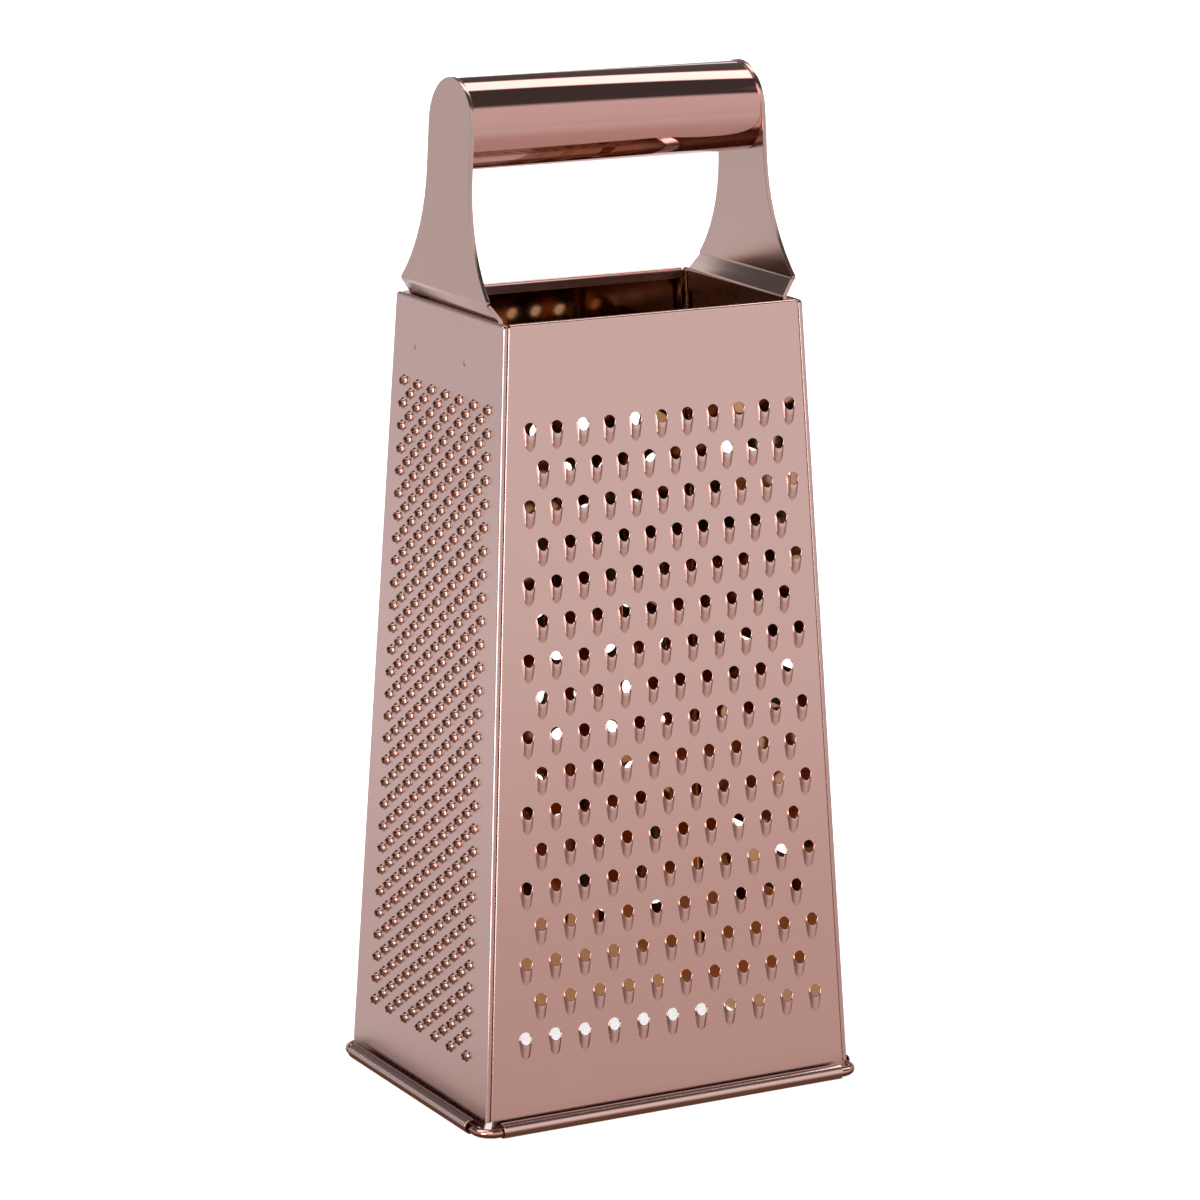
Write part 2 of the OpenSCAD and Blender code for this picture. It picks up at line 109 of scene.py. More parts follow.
# %% Camera
VIEW_TURN = math.radians(-28.25)
VIEW_RISE = math.radians(12.76)
VIEW_DISTANCE = 1124.66 * MM
VIEW_TARGET = Vector((0, 0, 120 * MM))
FRAME_PIXELS = 1200
FOCAL_PIXELS = 4778.2
SENSOR = 36
PRINCIPAL_PIXEL = (598.35, 576.86)

view_back = Vector((math.sin(VIEW_TURN) * math.cos(VIEW_RISE),
                    -math.cos(VIEW_TURN) * math.cos(VIEW_RISE),
                    math.sin(VIEW_RISE)))
bpy.ops.object.camera_add(location=VIEW_TARGET + view_back * VIEW_DISTANCE)
camera = bpy.context.object
camera.rotation_euler = view_back.to_track_quat("Z", "Y").to_euler()
camera.data.sensor_width = SENSOR
camera.data.lens = FOCAL_PIXELS / FRAME_PIXELS * SENSOR
camera.data.shift_x = 0.5 - PRINCIPAL_PIXEL[0] / FRAME_PIXELS
camera.data.shift_y = PRINCIPAL_PIXEL[1] / FRAME_PIXELS - 0.5
bpy.context.scene.camera = camera
print(f"lens {camera.data.lens:.1f} mm")

# %% [markdown]
# Two small helpers serve all finishes: one turns a colour written as sRGB hex into the linear values
# that the shaders work with, the other adds a node, sets it up and joins its inputs.

# %% Helpers for finishes
def linear(hex_colour, gain=1.0):
    """sRGB hex such as '#c89a8a' as linear red, green, blue and alpha, brightened by a gain."""
    parts = [int(hex_colour[i:i + 2], 16) / 255 for i in (1, 3, 5)]
    light = [p / 12.92 if p <= 0.04045 else ((p + 0.055) / 1.055) ** 2.4 for p in parts]
    return [min(1.0, p * gain) for p in light] + [1.0]


def add_node(tree, kind, links=None, values=None, **settings):
    """Adds a node with its settings, gives inputs their values and joins inputs to other outputs."""
    node = tree.nodes.new(kind)
    for name, value in settings.items():
        setattr(node, name, value)
    for socket, value in (values or {}).items():
        node.inputs[socket].default_value = value
    for socket, source in (links or {}).items():
        tree.links.new(source, node.inputs[socket])
    return node


def new_material(name):
    material = bpy.data.materials.new(name)
    material.use_nodes = True
    material.node_tree.nodes.clear()
    return material, material.node_tree


print("#c3978f is", [round(part, 3) for part in linear("#c3978f")[:3]], "in linear light")

# %% [markdown]
# Rose gold here is a thin titanium or zirconium nitride coat, put on stainless steel in a vacuum. It takes
# over whatever surface the steel had, so the walls and plates keep the fine straight grain of rolled
# and belt-brushed sheet. The grain is finer than a pixel, so it is drawn about as coarse as it can
# show: streaks 0.25 mm apart and 60 mm long, from one noise stretched along the grain.

# %% Grain of rolled sheet
GRAIN_APART = 0.25 * MM
GRAIN_LONG = 60 * MM
CLOUD_SIZE = 35 * MM
NOISE_SPAN = {"From Min": 0.3, "From Max": 0.7}  # nearly all values of a noise lie in between


def sheet_grain(tree, place, upright):
    """Noise stretched along X and Y, or along Z where the grain is upright."""
    apart, along = 1 / GRAIN_APART, 1 / GRAIN_LONG
    scale = (apart, apart, along) if upright else (along, along, apart)
    stretched = add_node(tree, "ShaderNodeMapping", {"Vector": place}, {"Scale": scale})
    return add_node(tree, "ShaderNodeTexNoise", {"Vector": stretched.outputs[0]},
                    {"Scale": 1.0, "Detail": 3.0, "Roughness": 0.6}).outputs["Fac"]


def sheet_rough(tree, place, grain, roughness):
    """Roughness that follows the grain and drifts a little from place to place."""
    streaked = add_node(tree, "ShaderNodeMapRange", {"Value": grain},
                        {**NOISE_SPAN, "To Min": roughness * 0.85, "To Max": roughness * 1.2})
    cloud = add_node(tree, "ShaderNodeTexNoise", {"Vector": place},
                     {"Scale": 1 / CLOUD_SIZE, "Detail": 2.0, "Roughness": 0.5})
    drift = add_node(tree, "ShaderNodeMapRange", {"Value": cloud.outputs["Fac"]},
                     {**NOISE_SPAN, "To Min": 0.92, "To Max": 1.08})
    return add_node(tree, "ShaderNodeMath", {0: streaked.outputs[0], 1: drift.outputs[0]},
                    operation="MULTIPLY").outputs[0]


print("grain", round(GRAIN_APART / MM, 2), "mm apart")

# %% [markdown]
# The coat is not one even colour. It is rubbed lighter on bends and rims, which hands and food touch
# first, and this lighter colour is also a painted highlight along the bends and rims. Steep flanks of
# the pressed places get painted shade in their colour, as dark as the surround that they would mirror.
# Both could be painted by hand, but a rule finds all the hundreds of places. A flat wall looks almost
# exactly along X or Y, so a face that does not is bent, and only there do the rub and painted highlight
# count. A flank of a pressed place looks along X and Y at once.

# %% Colour of coated sheet
FLAT_FACING = 0.995
RUB_AND_HIGHLIGHT_GAIN = 1.25
# Painted shade: the dark colour given to the steep flanks of lips and crowns, as dark as the surround they
# would mirror.
FLANK_SHADE_COLOUR = "#4d3330"


def sheet_colour(tree, colour, grain, streak, painted_flank_shade):
    """The coat's colour: streaked along the grain, rubbed lighter with a painted highlight on bends and, if
    asked, given painted shade on steep flanks.
    """
    tone = add_node(tree, "ShaderNodeMix", {"Factor": grain},
                    {"A": linear(colour, 1 - streak), "B": linear(colour, 1 + streak)}, data_type="RGBA")
    facing = add_node(tree, "ShaderNodeSeparateXYZ",
                      {0: add_node(tree, "ShaderNodeTexCoord").outputs["Normal"]})
    along_x, along_y = [add_node(tree, "ShaderNodeMath", {0: facing.outputs[axis]},
                                 operation="ABSOLUTE").outputs[0] for axis in ("X", "Y")]
    flat = add_node(tree, "ShaderNodeMath", {0: along_x, 1: along_y}, operation="MAXIMUM")
    bent = add_node(tree, "ShaderNodeMath", {0: flat.outputs[0]}, {1: FLAT_FACING}, operation="LESS_THAN")
    # Pointiness finds bends and rims. The lighter colour there is partly rubbed wear and partly a painted
    # highlight.
    edge = add_node(tree, "ShaderNodeNewGeometry").outputs["Pointiness"]
    rub_and_highlight = add_node(tree, "ShaderNodeMapRange", {"Value": edge},
                   {"From Min": 0.53, "From Max": 0.62, "To Min": 0.0, "To Max": 0.5})
    rubbed = add_node(tree, "ShaderNodeMath", {0: bent.outputs[0], 1: rub_and_highlight.outputs[0]},
                      operation="MULTIPLY")
    worn_and_highlight = add_node(tree, "ShaderNodeMix", {"Factor": rubbed.outputs[0], "A": tone.outputs["Result"]},
                    {"B": linear(colour, RUB_AND_HIGHLIGHT_GAIN)}, data_type="RGBA")
    if not painted_flank_shade:
        return worn_and_highlight.outputs["Result"]
    # Painted shade on steep flanks: the colour goes towards the dark flank colour where a face looks along X
    # and Y at once.
    steep = add_node(tree, "ShaderNodeMath", {0: along_x, 1: along_y}, operation="MULTIPLY")
    uneven = add_node(tree, "ShaderNodeMath", {0: grain, 2: steep.outputs[0]}, {1: 0.25},
                      operation="MULTIPLY_ADD")
    drawn = add_node(tree, "ShaderNodeMapRange", {"Value": uneven.outputs[0]},
                     {"From Min": 0.3, "From Max": 0.6, "To Min": 0.0, "To Max": painted_flank_shade})
    return add_node(tree, "ShaderNodeMix", {"Factor": drawn.outputs[0], "A": worn_and_highlight.outputs["Result"]},
                    {"B": linear(FLANK_SHADE_COLOUR)}, data_type="RGBA").outputs["Result"]


# The lighter colour on bends is also a painted highlight.
print("bends are", round(RUB_AND_HIGHLIGHT_GAIN, 2), "times as bright where they are rubbed")

# %% [markdown]
# One recipe now gives the sheet of the wide walls, with a level grain, of the narrow walls, with an
# upright one, and the smoother brushed plates. Under a punch the sheet is drawn over polished steel and
# comes out brighter and smoother, so the pressed places have a finish of their own. Colour, roughness
# and grain started from those of a plain satin metal and were matched to the real grater.

# %% Satin rose gold sheet
GRAIN_DEEP = 0.02 * MM


def satin_sheet(name, colour, upright=False, roughness=0.24, grain_strength=0.03, anisotropy=0.2,
                streak=0.02, painted_flank_shade=0.0):
    """Coated sheet with a straight grain, level or upright."""
    material, tree = new_material(name)
    place = add_node(tree, "ShaderNodeTexCoord").outputs["Object"]
    grain = sheet_grain(tree, place, upright)
    bump = add_node(tree, "ShaderNodeBump", {"Height": grain},
                    {"Strength": grain_strength, "Distance": GRAIN_DEEP})
    shader = add_node(tree, "ShaderNodeBsdfPrincipled",
                      {"Base Color": sheet_colour(tree, colour, grain, streak, painted_flank_shade),
                       "Roughness": sheet_rough(tree, place, grain, roughness),
                       "Normal": bump.outputs[0]},
                      {"Metallic": 1.0, "Anisotropic": anisotropy})
    add_node(tree, "ShaderNodeOutputMaterial", {"Surface": shader.outputs[0]})
    return material


wide_sheet = satin_sheet("rose gold PVD on rolled stainless sheet", "#d3afa8",
                         grain_strength=0.016, streak=0.013)
narrow_sheet = satin_sheet("rose gold PVD on upright grained sheet", "#c4a4a0", upright=True,
                           anisotropy=0.0)
plate_sheet = satin_sheet("rose gold PVD on belt brushed plate", "#ba9d96", roughness=0.19,
                          grain_strength=0.008, anisotropy=0.1, streak=0.008)
# The steep flanks of the pressed places are darkened with painted shade, 0.6 of the way to the dark flank
# colour.
pressed_sheet = satin_sheet("rose gold PVD on sheet drawn smooth by the punch", "#d0a8a0", upright=True,
                            roughness=0.12, grain_strength=0.01, anisotropy=0.0, painted_flank_shade=0.6)
print("outer finishes:", ", ".join(m.name for m in (wide_sheet, narrow_sheet, plate_sheet, pressed_sheet)))

# %% [markdown]
# The inner faces get a golden brown colour, which is painted bounce light: the warm glow that the
# polished inner faces throw onto one another. The inside was never brushed, so it is smoother than the
# outside. Torn burrs are blotchy, and their darker colour is painted shade. The hollows behind the
# punched places are given the darkest painted shade. The same satin recipe serves for all three.

# %% Golden inside and dark burrs
# Golden brown painted bounce light on the inner faces.
inner_sheet = satin_sheet("thin golden PVD on the inner face of the sheet", "#b17f5a",
                          roughness=0.06, grain_strength=0.01)
# The burrs' darker colour and their dark steep flanks are painted shade. The blotches are the coat's own.
torn_sheet = satin_sheet("rose gold PVD with painted shade on torn burrs", "#9c786c", upright=True,
                         roughness=0.14, grain_strength=0.02, anisotropy=0.0, streak=0.4, painted_flank_shade=0.4)
# Painted shade: the inner faces behind the lips and crowns, in the hollows of the punched places, are given a
# dark brown.
punch_hollow_shade = satin_sheet("painted shade inside the punched places", "#5a3a2c",
                          roughness=0.3, grain_strength=0.02, anisotropy=0.0)
print("inner finishes:", ", ".join(m.name for m in (inner_sheet, torn_sheet, punch_hollow_shade)))

# %% [markdown]
# The handle tube was polished to a mirror before it was coated. A mirror has almost no pattern of its
# own, so only a faint waviness from the polishing wheel, about 9 mm long, breaks its reflections. The
# foot wire was drawn through a die and not polished. It has the same recipe with a duller surface.

# %% Mirror rose gold tube and drawn wire
RIPPLE_SIZE = 9 * MM
RIPPLE_DEEP = 0.05 * MM
SMEAR_SIZE = 3 * MM


def polished(name, colour, roughness, wave):
    material, tree = new_material(name)
    place = add_node(tree, "ShaderNodeTexCoord").outputs["Object"]
    ripple = add_node(tree, "ShaderNodeTexNoise", {"Vector": place},
                      {"Scale": 1 / RIPPLE_SIZE, "Detail": 2.0})
    smear = add_node(tree, "ShaderNodeTexNoise", {"Vector": place},
                     {"Scale": 1 / SMEAR_SIZE, "Detail": 4.0})
    rough = add_node(tree, "ShaderNodeMapRange", {"Value": smear.outputs["Fac"]},
                     {**NOISE_SPAN, "To Min": roughness * 0.7, "To Max": roughness * 1.4})
    bump = add_node(tree, "ShaderNodeBump", {"Height": ripple.outputs["Fac"]},
                    {"Strength": wave, "Distance": RIPPLE_DEEP})
    shader = add_node(tree, "ShaderNodeBsdfPrincipled",
                      {"Roughness": rough.outputs[0], "Normal": bump.outputs[0]},
                      {"Base Color": linear(colour), "Metallic": 1.0})
    add_node(tree, "ShaderNodeOutputMaterial", {"Surface": shader.outputs[0]})
    return material


tube_mirror = polished("rose gold PVD on mirror polished tube", "#c3978f", roughness=0.05, wave=0.15)
wire_finish = polished("rose gold PVD on drawn wire", "#be9186", roughness=0.14, wave=0.2)
print("polished finishes:", tube_mirror.name, "and", wire_finish.name)

# %% [markdown]
# Modelling helpers. Operators act on whatever is selected, so each one starts from a clean selection
# and picks faces, edges or points by where they are, as a hand would do with the mouse.

# %% Helpers for picking and editing
NEAR = 0.01 * MM  # two places closer than this are the same
LEVEL = 0.9999  # a direction this close to another is the same


def take(piece):
    """Selects one piece alone and makes it the active one."""
    bpy.ops.object.select_all(action="DESELECT")
    piece.select_set(True)
    bpy.context.view_layer.objects.active = piece


def start_piece(name):
    """Names the primitive that was just added and opens it for editing."""
    piece = bpy.context.object
    piece.name = name
    piece.data.name = name
    bpy.ops.object.mode_set(mode="EDIT")
    return piece


def start_disc(name, points, radius, fill="NGON"):
    """Adds an upright disc that looks towards the front, its radius in millimetres, open for editing."""
    bpy.ops.object.select_all(action="DESELECT")
    bpy.ops.mesh.primitive_circle_add(vertices=points, radius=radius * MM, fill_type=fill,
                                      rotation=(math.pi / 2, 0, 0))
    bpy.ops.object.transform_apply(location=False, rotation=True, scale=True)
    return start_piece(name)


def close_edit():
    bpy.ops.object.mode_set(mode="OBJECT")


def pick(piece, kind, test):
    """Selects the points, edges or faces of the open piece that pass the test, and counts them."""
    bpy.ops.mesh.select_mode(type=kind)
    bpy.ops.mesh.select_all(action="DESELECT")
    shape = bmesh.from_edit_mesh(piece.data)
    parts = {"VERT": shape.verts, "EDGE": shape.edges, "FACE": shape.faces}[kind]
    chosen = [part for part in parts if test(part)]
    for part in chosen:
        part.select_set(True)
    bmesh.update_edit_mesh(piece.data)
    return len(chosen)


def middle(edge):
    return (edge.verts[0].co + edge.verts[1].co) / 2


def extrude(step):
    bpy.ops.mesh.extrude_region_move(TRANSFORM_OT_translate={"value": step})


def grow_border(piece, step, growth):
    """Extrudes the open border by a step and widens it, which adds one ring of faces."""
    pick(piece, "EDGE", lambda e: e.is_boundary)
    extrude(step)
    bpy.ops.transform.resize(value=(growth, 1.0, growth))


# %% Helpers for finishing a piece
def modify(piece, kind, **settings):
    """Adds a modifier to a piece and applies it at once."""
    take(piece)
    modifier = piece.modifiers.new(kind.title(), kind)
    for name, value in settings.items():
        setattr(modifier, name, value)
    bpy.ops.object.modifier_apply(modifier=modifier.name)


def smooth(piece, degrees):
    take(piece)
    bpy.ops.object.shade_smooth_by_angle(angle=math.radians(degrees))


def shade_flat(piece, test):
    """Shades the faces that pass the test flat, so that long thin ones on level sheet draw no streaks."""
    bpy.ops.object.mode_set(mode="EDIT")
    pick(piece, "FACE", test)
    bpy.ops.mesh.faces_shade_flat()
    close_edit()


def paint_picked(piece, slot):
    piece.active_material_index = slot
    bpy.ops.object.material_slot_assign()


# %% [markdown]
# Sheet is folded over a bar: the edge runs straight for a length, then turns on a radius, and so on. The
# same list of lengths, turns and radii is followed here by extruding the edge, one step for each straight
# and a short chord for every 15 degrees of a bend. A bend modifier would curve the whole wall instead.

# %% Fold along an edge
FOLD_STEP = 15


def fold(steps, heading, out, up):
    """Extrudes the selected straight edge along a path of lengths, turns and radii, as a press bends sheet.
    The path lies in the plane of the directions out and up. heading and the turns are in degrees."""
    angle = math.radians(heading)
    for length, turn, radius in steps:
        if length:
            extrude((out * math.cos(angle) + up * math.sin(angle)) * length * MM)
        count = math.ceil(abs(turn) / FOLD_STEP)
        for _ in range(count):
            part = math.radians(turn) / count
            chord = 2 * radius * abs(math.sin(part / 2)) * MM
            angle += part / 2
            extrude((out * math.cos(angle) + up * math.sin(angle)) * chord)
            angle += part / 2


print("a full hem takes", 180 // FOLD_STEP, "chords")

# %% [markdown]
# A raised lip is what a shredding wall is made of. A punch cuts a round hole and a second punch pushes
# the sheet below it outwards into a small hood with steep sides and a rounded end, so that the lower half
# of the hole's rim stands up as a cutting edge. Cutting each lip out of the wall with booleans would
# give ragged faces, so one lip is modelled as rings that run from the round hole to the hood's
# U-shaped outline, pressed up as the punch would, and then copied. The slicing slot is the same
# lip with its two halves drawn apart.

# %% Shape of a pressed lip
FINE_LIP = {"hole": 1.5, "half": 1.75, "tail": 1.0, "length": 5.2, "lift": 1.2, "margin": 0.15, "span": 0.0}
COARSE_LIP = {"hole": 2.8, "half": 3.2, "tail": 2.2, "length": 8.0, "lift": 2.3, "margin": 0.25, "span": 0.0}
SLICER_LIP = {"hole": 2.2, "half": 3.0, "tail": 2.4, "length": 11.5, "lift": 2.3, "margin": 0.3, "span": 33.0}
LIP_STEPS = (0.0, 0.38, 0.68, 0.9, 1.0)  # how far each ring lies on the way from the rim to the border
LIP_GROWTH = 1.2
UPPER_STEPS = 8
END_FROM = 0.72  # share of the hood's length where its end starts to round off
SLOPE_POWER = 0.85
DOME_POWER = 0.6
SPREAD_POWER = 0.8


def hood_half(share, size):
    """Half width of the hood at a share of its length, narrowing downwards to a rounded end."""
    half = size["half"] - (size["half"] - size["tail"]) * share
    over = max(0.0, (share - END_FROM) / (1 - END_FROM))
    return half * math.sqrt(max(0.0, 1 - over * over))


def hood_height(x, v, size):
    """How far the punch pushes the sheet out at a place beside the hole's middle, in millimetres."""
    share = min(1.0, max(0.0, -v) / size["length"])
    half = hood_half(share, size)
    if half <= 0 or abs(x) >= half:
        return 0.0
    return size["lift"] * (1 - share) ** SLOPE_POWER * (1 - (x / half) ** 2) ** DOME_POWER


def rim_and_border(spoke, points, size):
    """Turn of a spoke of the lip, and where it starts on the hole's rim and ends on the border."""
    if spoke <= UPPER_STEPS:
        turn = math.pi * spoke / UPPER_STEPS
        border = (size["half"] * math.cos(turn), (size["half"] - 0.05) * math.sin(turn))
    else:
        turn = math.pi * (1 + (spoke - UPPER_STEPS) / (points - UPPER_STEPS))
        share = abs(math.sin(turn)) ** SPREAD_POWER
        border = (math.copysign(hood_half(share, size), math.cos(turn)), -share * size["length"])
    return turn, (size["hole"] * math.cos(turn), size["hole"] * math.sin(turn)), border


print("a fine lip's edge stands", round(hood_height(0, 0, FINE_LIP), 2), "mm proud")

# %% Model of a pressed lip
def make_lip(name, size, points):
    """A patch of wall with one lip, flat at its outer border, its hole still closed by one face."""
    patch = start_disc(name, points, size["hole"])
    for _ in LIP_STEPS:
        grow_border(patch, (0, 0, 0), LIP_GROWTH)
    close_edit()
    for vert in patch.data.vertices:
        ring = round(math.log(vert.co.length / MM / size["hole"]) / math.log(LIP_GROWTH))
        spoke = round(math.atan2(vert.co.z, vert.co.x) / (2 * math.pi / points)) % points
        turn, rim, border = rim_and_border(spoke, points, size)
        step = LIP_STEPS[min(ring, len(LIP_STEPS) - 1)]
        x = rim[0] + (border[0] - rim[0]) * step
        v = rim[1] + (border[1] - rim[1]) * step
        height = hood_height(x, v, size) if step < 1 else 0.0
        if ring == len(LIP_STEPS):
            away = math.hypot(border[0] - rim[0], border[1] - rim[1])
            x += (border[0] - rim[0]) / away * size["margin"]
            v += (border[1] - rim[1]) / away * size["margin"]
        if spoke <= UPPER_STEPS:
            height *= max(0.0, 1 - 2 * math.sin(turn))
        if abs(math.cos(turn)) > 0.01:
            x += math.copysign(size["span"] / 2, math.cos(turn))
        vert.co = Vector((x, -height, v)) * MM
    return patch


FINE_POINTS, COARSE_POINTS, SLICER_POINTS = 20, 28, 40
fine_lip = make_lip("fine_lip", FINE_LIP, FINE_POINTS)
coarse_lip = make_lip("coarse_lip", COARSE_LIP, COARSE_POINTS)
slicer_lip = make_lip("slicer_lip", SLICER_LIP, SLICER_POINTS)
print("one fine lip has", len(fine_lip.data.polygons), "faces")

# %% [markdown]
# The rasp's crowns are made by a pointed punch that bursts through the sheet from inside: a steep cone
# with a torn hole at its top and four points round it. Real ones are never quite alike, so five are
# modelled, each with points of its own height, and they take turns over the wall. There are hundreds
# of them, so each has only a few dozen faces.

# %% Torn crowns
CROWN_POINTS = 12
CROWN_START_R = 0.5
CROWN_GROWTH = 1.4
CROWN_RINGS = ((0.92, 0.48), (1.16, 0.23), (1.42, 0.0))  # reach and height of the rings below the rim
RIM_REACH, RIM_HEIGHT = 0.84, 0.84
TORN = "torn"
TORN_FROM = 0.55  # the rim stands higher than this and the rings stay below


def make_crown(name, seed):
    dice = random.Random(seed)
    crown = start_disc(name, CROWN_POINTS, CROWN_START_R)
    for _ in CROWN_RINGS:
        grow_border(crown, (0, 0, 0), CROWN_GROWTH)
    close_edit()
    for vert in crown.data.vertices:
        ring = round(math.log(vert.co.length / (CROWN_START_R * MM)) / math.log(CROWN_GROWTH))
        turn = math.atan2(vert.co.z, vert.co.x)
        point = math.cos(2 * turn) ** 2
        if ring == 0:
            reach = RIM_REACH + 0.05 * point + dice.uniform(-0.05, 0.05)
            height = RIM_HEIGHT + 0.16 * point + dice.uniform(-0.1, 0.1)
        else:
            reach, height = CROWN_RINGS[ring - 1]
        vert.co = Vector((math.cos(turn) * reach, -height, math.sin(turn) * reach)) * MM
    rim = [v.index for v in crown.data.vertices if v.co.y < -TORN_FROM * MM]
    crown.vertex_groups.new(name=TORN).add(rim, 1.0, "REPLACE")
    return crown


crowns = [make_crown(f"crown_{n}", n) for n in range(5)]
print("five crowns of", len(crowns[0].data.polygons), "faces each")

# %% [markdown]
# The two electrodes that spot weld a handle plate to its wall leave two shallow dimples in the wall's
# outer face. A dimple is a small disc pushed in, with a soft border. Bump in the material would draw it
# too, but then the mesh itself would not have it.

# %% Weld dimple
DIMPLE_START_R = 0.4
DIMPLE_DEEP = 0.12
WELD_FROM_TOP = 11.3
weld_dimple = start_disc("weld_dimple", 16, DIMPLE_START_R)
for depth, growth in ((-0.02, 1.4), (-0.08, 1.3), (-0.02, 1.3)):
    grow_border(weld_dimple, (0, depth * MM, 0), growth)
close_edit()
weld_dimple.data.transform(Matrix.Translation((0, DIMPLE_DEEP * MM, 0)))
weld_places = [(u, narrow_l - WELD_FROM_TOP) for u in (-16.3, 9.1)]
print("dimple", round(weld_dimple.dimensions.x / MM, 2), "mm across")

# %% [markdown]
# The punches sit in staggered rows, and the rows get longer as the wall widens towards its foot. An array
# modifier keeps one spacing, so each row's places are worked out here between margins that follow the
# slanting sides. Every second row has one place less, half a step in.

# %% Places on the walls
FINE_ROWS = {"rows": 17, "cols": 11, "top": 23.9, "row_pitch": 8.834, "margins": (6.3, 8.75)}
COARSE_ROWS = {"rows": 13, "cols": 6, "top": 26.0, "row_pitch": 11.1, "margins": (9.65, 11.6)}
RASP_ROWS = {"rows": 57, "cols": 7, "top": 20.2, "row_pitch": 2.693, "margins": (6.95, 10.9)}
FINE_SHIFT = 0.9  # the fine pattern sits this far right of the wall's middle
SLOTS, SLOT_TOP, SLOT_PITCH = 3, 42.0, 48.0


def staggered(half, taper, length, rows, cols, top, row_pitch, margins):
    """Places across and up a wall, in millimetres, of a staggered pattern that keeps two margins."""
    places = []
    for row in range(rows):
        v = length - top - row * row_pitch
        margin = margins[0] + row / (rows - 1) * (margins[1] - margins[0])
        pitch = 2 * (half - taper * v - margin) / (cols - 1)
        count = cols - row % 2
        for i in range(count):
            places.append(((i - (count - 1) / 2) * pitch, v))
    return places


fine_places = [(u + FINE_SHIFT, v) for u, v in staggered(wide_half, wide_taper, wide_l, **FINE_ROWS)]
coarse_places = staggered(wide_half, wide_taper, wide_l, **COARSE_ROWS)
rasp_places = staggered(narrow_half, narrow_taper, narrow_l, **RASP_ROWS)
slicer_places = [(0.0, narrow_l - SLOT_TOP - SLOT_PITCH * i) for i in range(SLOTS)]
print(len(fine_places), "fine,", len(coarse_places), "coarse,", len(rasp_places), "crowns")

# %% [markdown]
# A wall starts as its flat outline, drawn from one plane: slanting sides, cut lower corners, and points
# where the hem and the foot roll will end. Every lip is then copied to its place. Each copy lands a hair
# off, as from a real press. That also helps the fill, which makes thin slivers between points that lie in
# one exact line.

# %% Outline and patches of a wall
corner_lift = 1.9
corner_cut = 1.45
corner_ease = 0.05
HAIR = 0.04
CROWN_STRIDE = 7


def copy_patches(name, patches, places):
    """Puts a copy of a patch, with its own mesh, at each place of a wall, a hair off."""
    dice = random.Random(name)
    copies = []
    for n, (u, v) in enumerate(places):
        copy = bpy.data.objects.new(f"{name}_{n}", patches[n * CROWN_STRIDE % len(patches)].data.copy())
        hair_u, hair_v = dice.uniform(-HAIR, HAIR), dice.uniform(-HAIR, HAIR)
        copy.data.transform(Matrix.Translation(((u + hair_u) * MM, 0, (v + hair_v) * MM)))
        bpy.context.collection.objects.link(copy)
        copies.append(copy)
    return copies


def wall_outline(name, half, taper, top_v, edge, hem_half, roll_half):
    """The wall's outline as wires, its sides drawn in by the width of the folded edge."""
    slope = edge / math.cos(math.atan(taper))
    foot_half = half - corner_cut
    low_half = half - taper * corner_lift - slope
    high_half = half - taper * top_v - slope
    bpy.ops.object.select_all(action="DESELECT")
    bpy.ops.mesh.primitive_plane_add(size=2 * MM, rotation=(math.pi / 2, 0, 0))
    bpy.ops.object.transform_apply(location=False, rotation=True, scale=True)
    wall = start_piece(name)
    for level, place, half_at in ((1, top_v, high_half), (-1, 0.0, foot_half)):
        pick(wall, "VERT", lambda v: v.co.z * level > 0)
        bpy.ops.transform.translate(value=(0, 0, (place - level) * MM))
        bpy.ops.transform.resize(value=(half_at, 1, 1), center_override=(0, 0, 0))
    bpy.ops.mesh.select_all(action="SELECT")
    bpy.ops.mesh.delete(type="ONLY_FACE")
    pick(wall, "EDGE", lambda e: abs(middle(e).z - top_v / 2 * MM) < MM)
    bpy.ops.mesh.subdivide(number_cuts=1)
    pick(wall, "VERT", lambda v: abs(v.co.z - top_v / 2 * MM) < MM)
    bpy.ops.transform.translate(value=(0, 0, (corner_lift - top_v / 2) * MM))
    bpy.ops.transform.resize(value=(low_half / ((foot_half + high_half) / 2), 1, 1),
                             center_override=(0, 0, 0))
    for place, half_at, inner, ease in ((0.0, foot_half, roll_half, corner_ease),
                                        (top_v, high_half, hem_half, -corner_ease)):
        pick(wall, "EDGE", lambda e: abs(middle(e).z - place * MM) < NEAR)
        bpy.ops.mesh.subdivide(number_cuts=2)
        pick(wall, "VERT", lambda v: abs(v.co.z - place * MM) < NEAR and abs(v.co.x) < half_at / 2 * MM)
        bpy.ops.transform.resize(value=(inner / (half_at / 3), 1, 1), center_override=(0, 0, 0))
        pick(wall, "VERT", lambda v: abs(v.co.z - place * MM) < NEAR and abs(v.co.x) > half_at * MM - NEAR)
        bpy.ops.transform.translate(value=(0, 0, ease * MM))
    close_edit()
    return wall


# %% [markdown]
# The flat sheet between the lips is one fill from the outline to all the borders, so the wall is one
# unbroken skin. A fill leaves long thin triangles. Beautify swaps them for fatter ones, and the fill has a
# material slot of its own, so that it can be shaded flat later: smooth shading would draw a streak
# along each of them.

# %% Skin of a wall
PRESSED_SLOT = 2
FLAT_SLOT = 4
PRESSED_TILT = 0.97  # a face that looks less squarely to the front than this was pressed


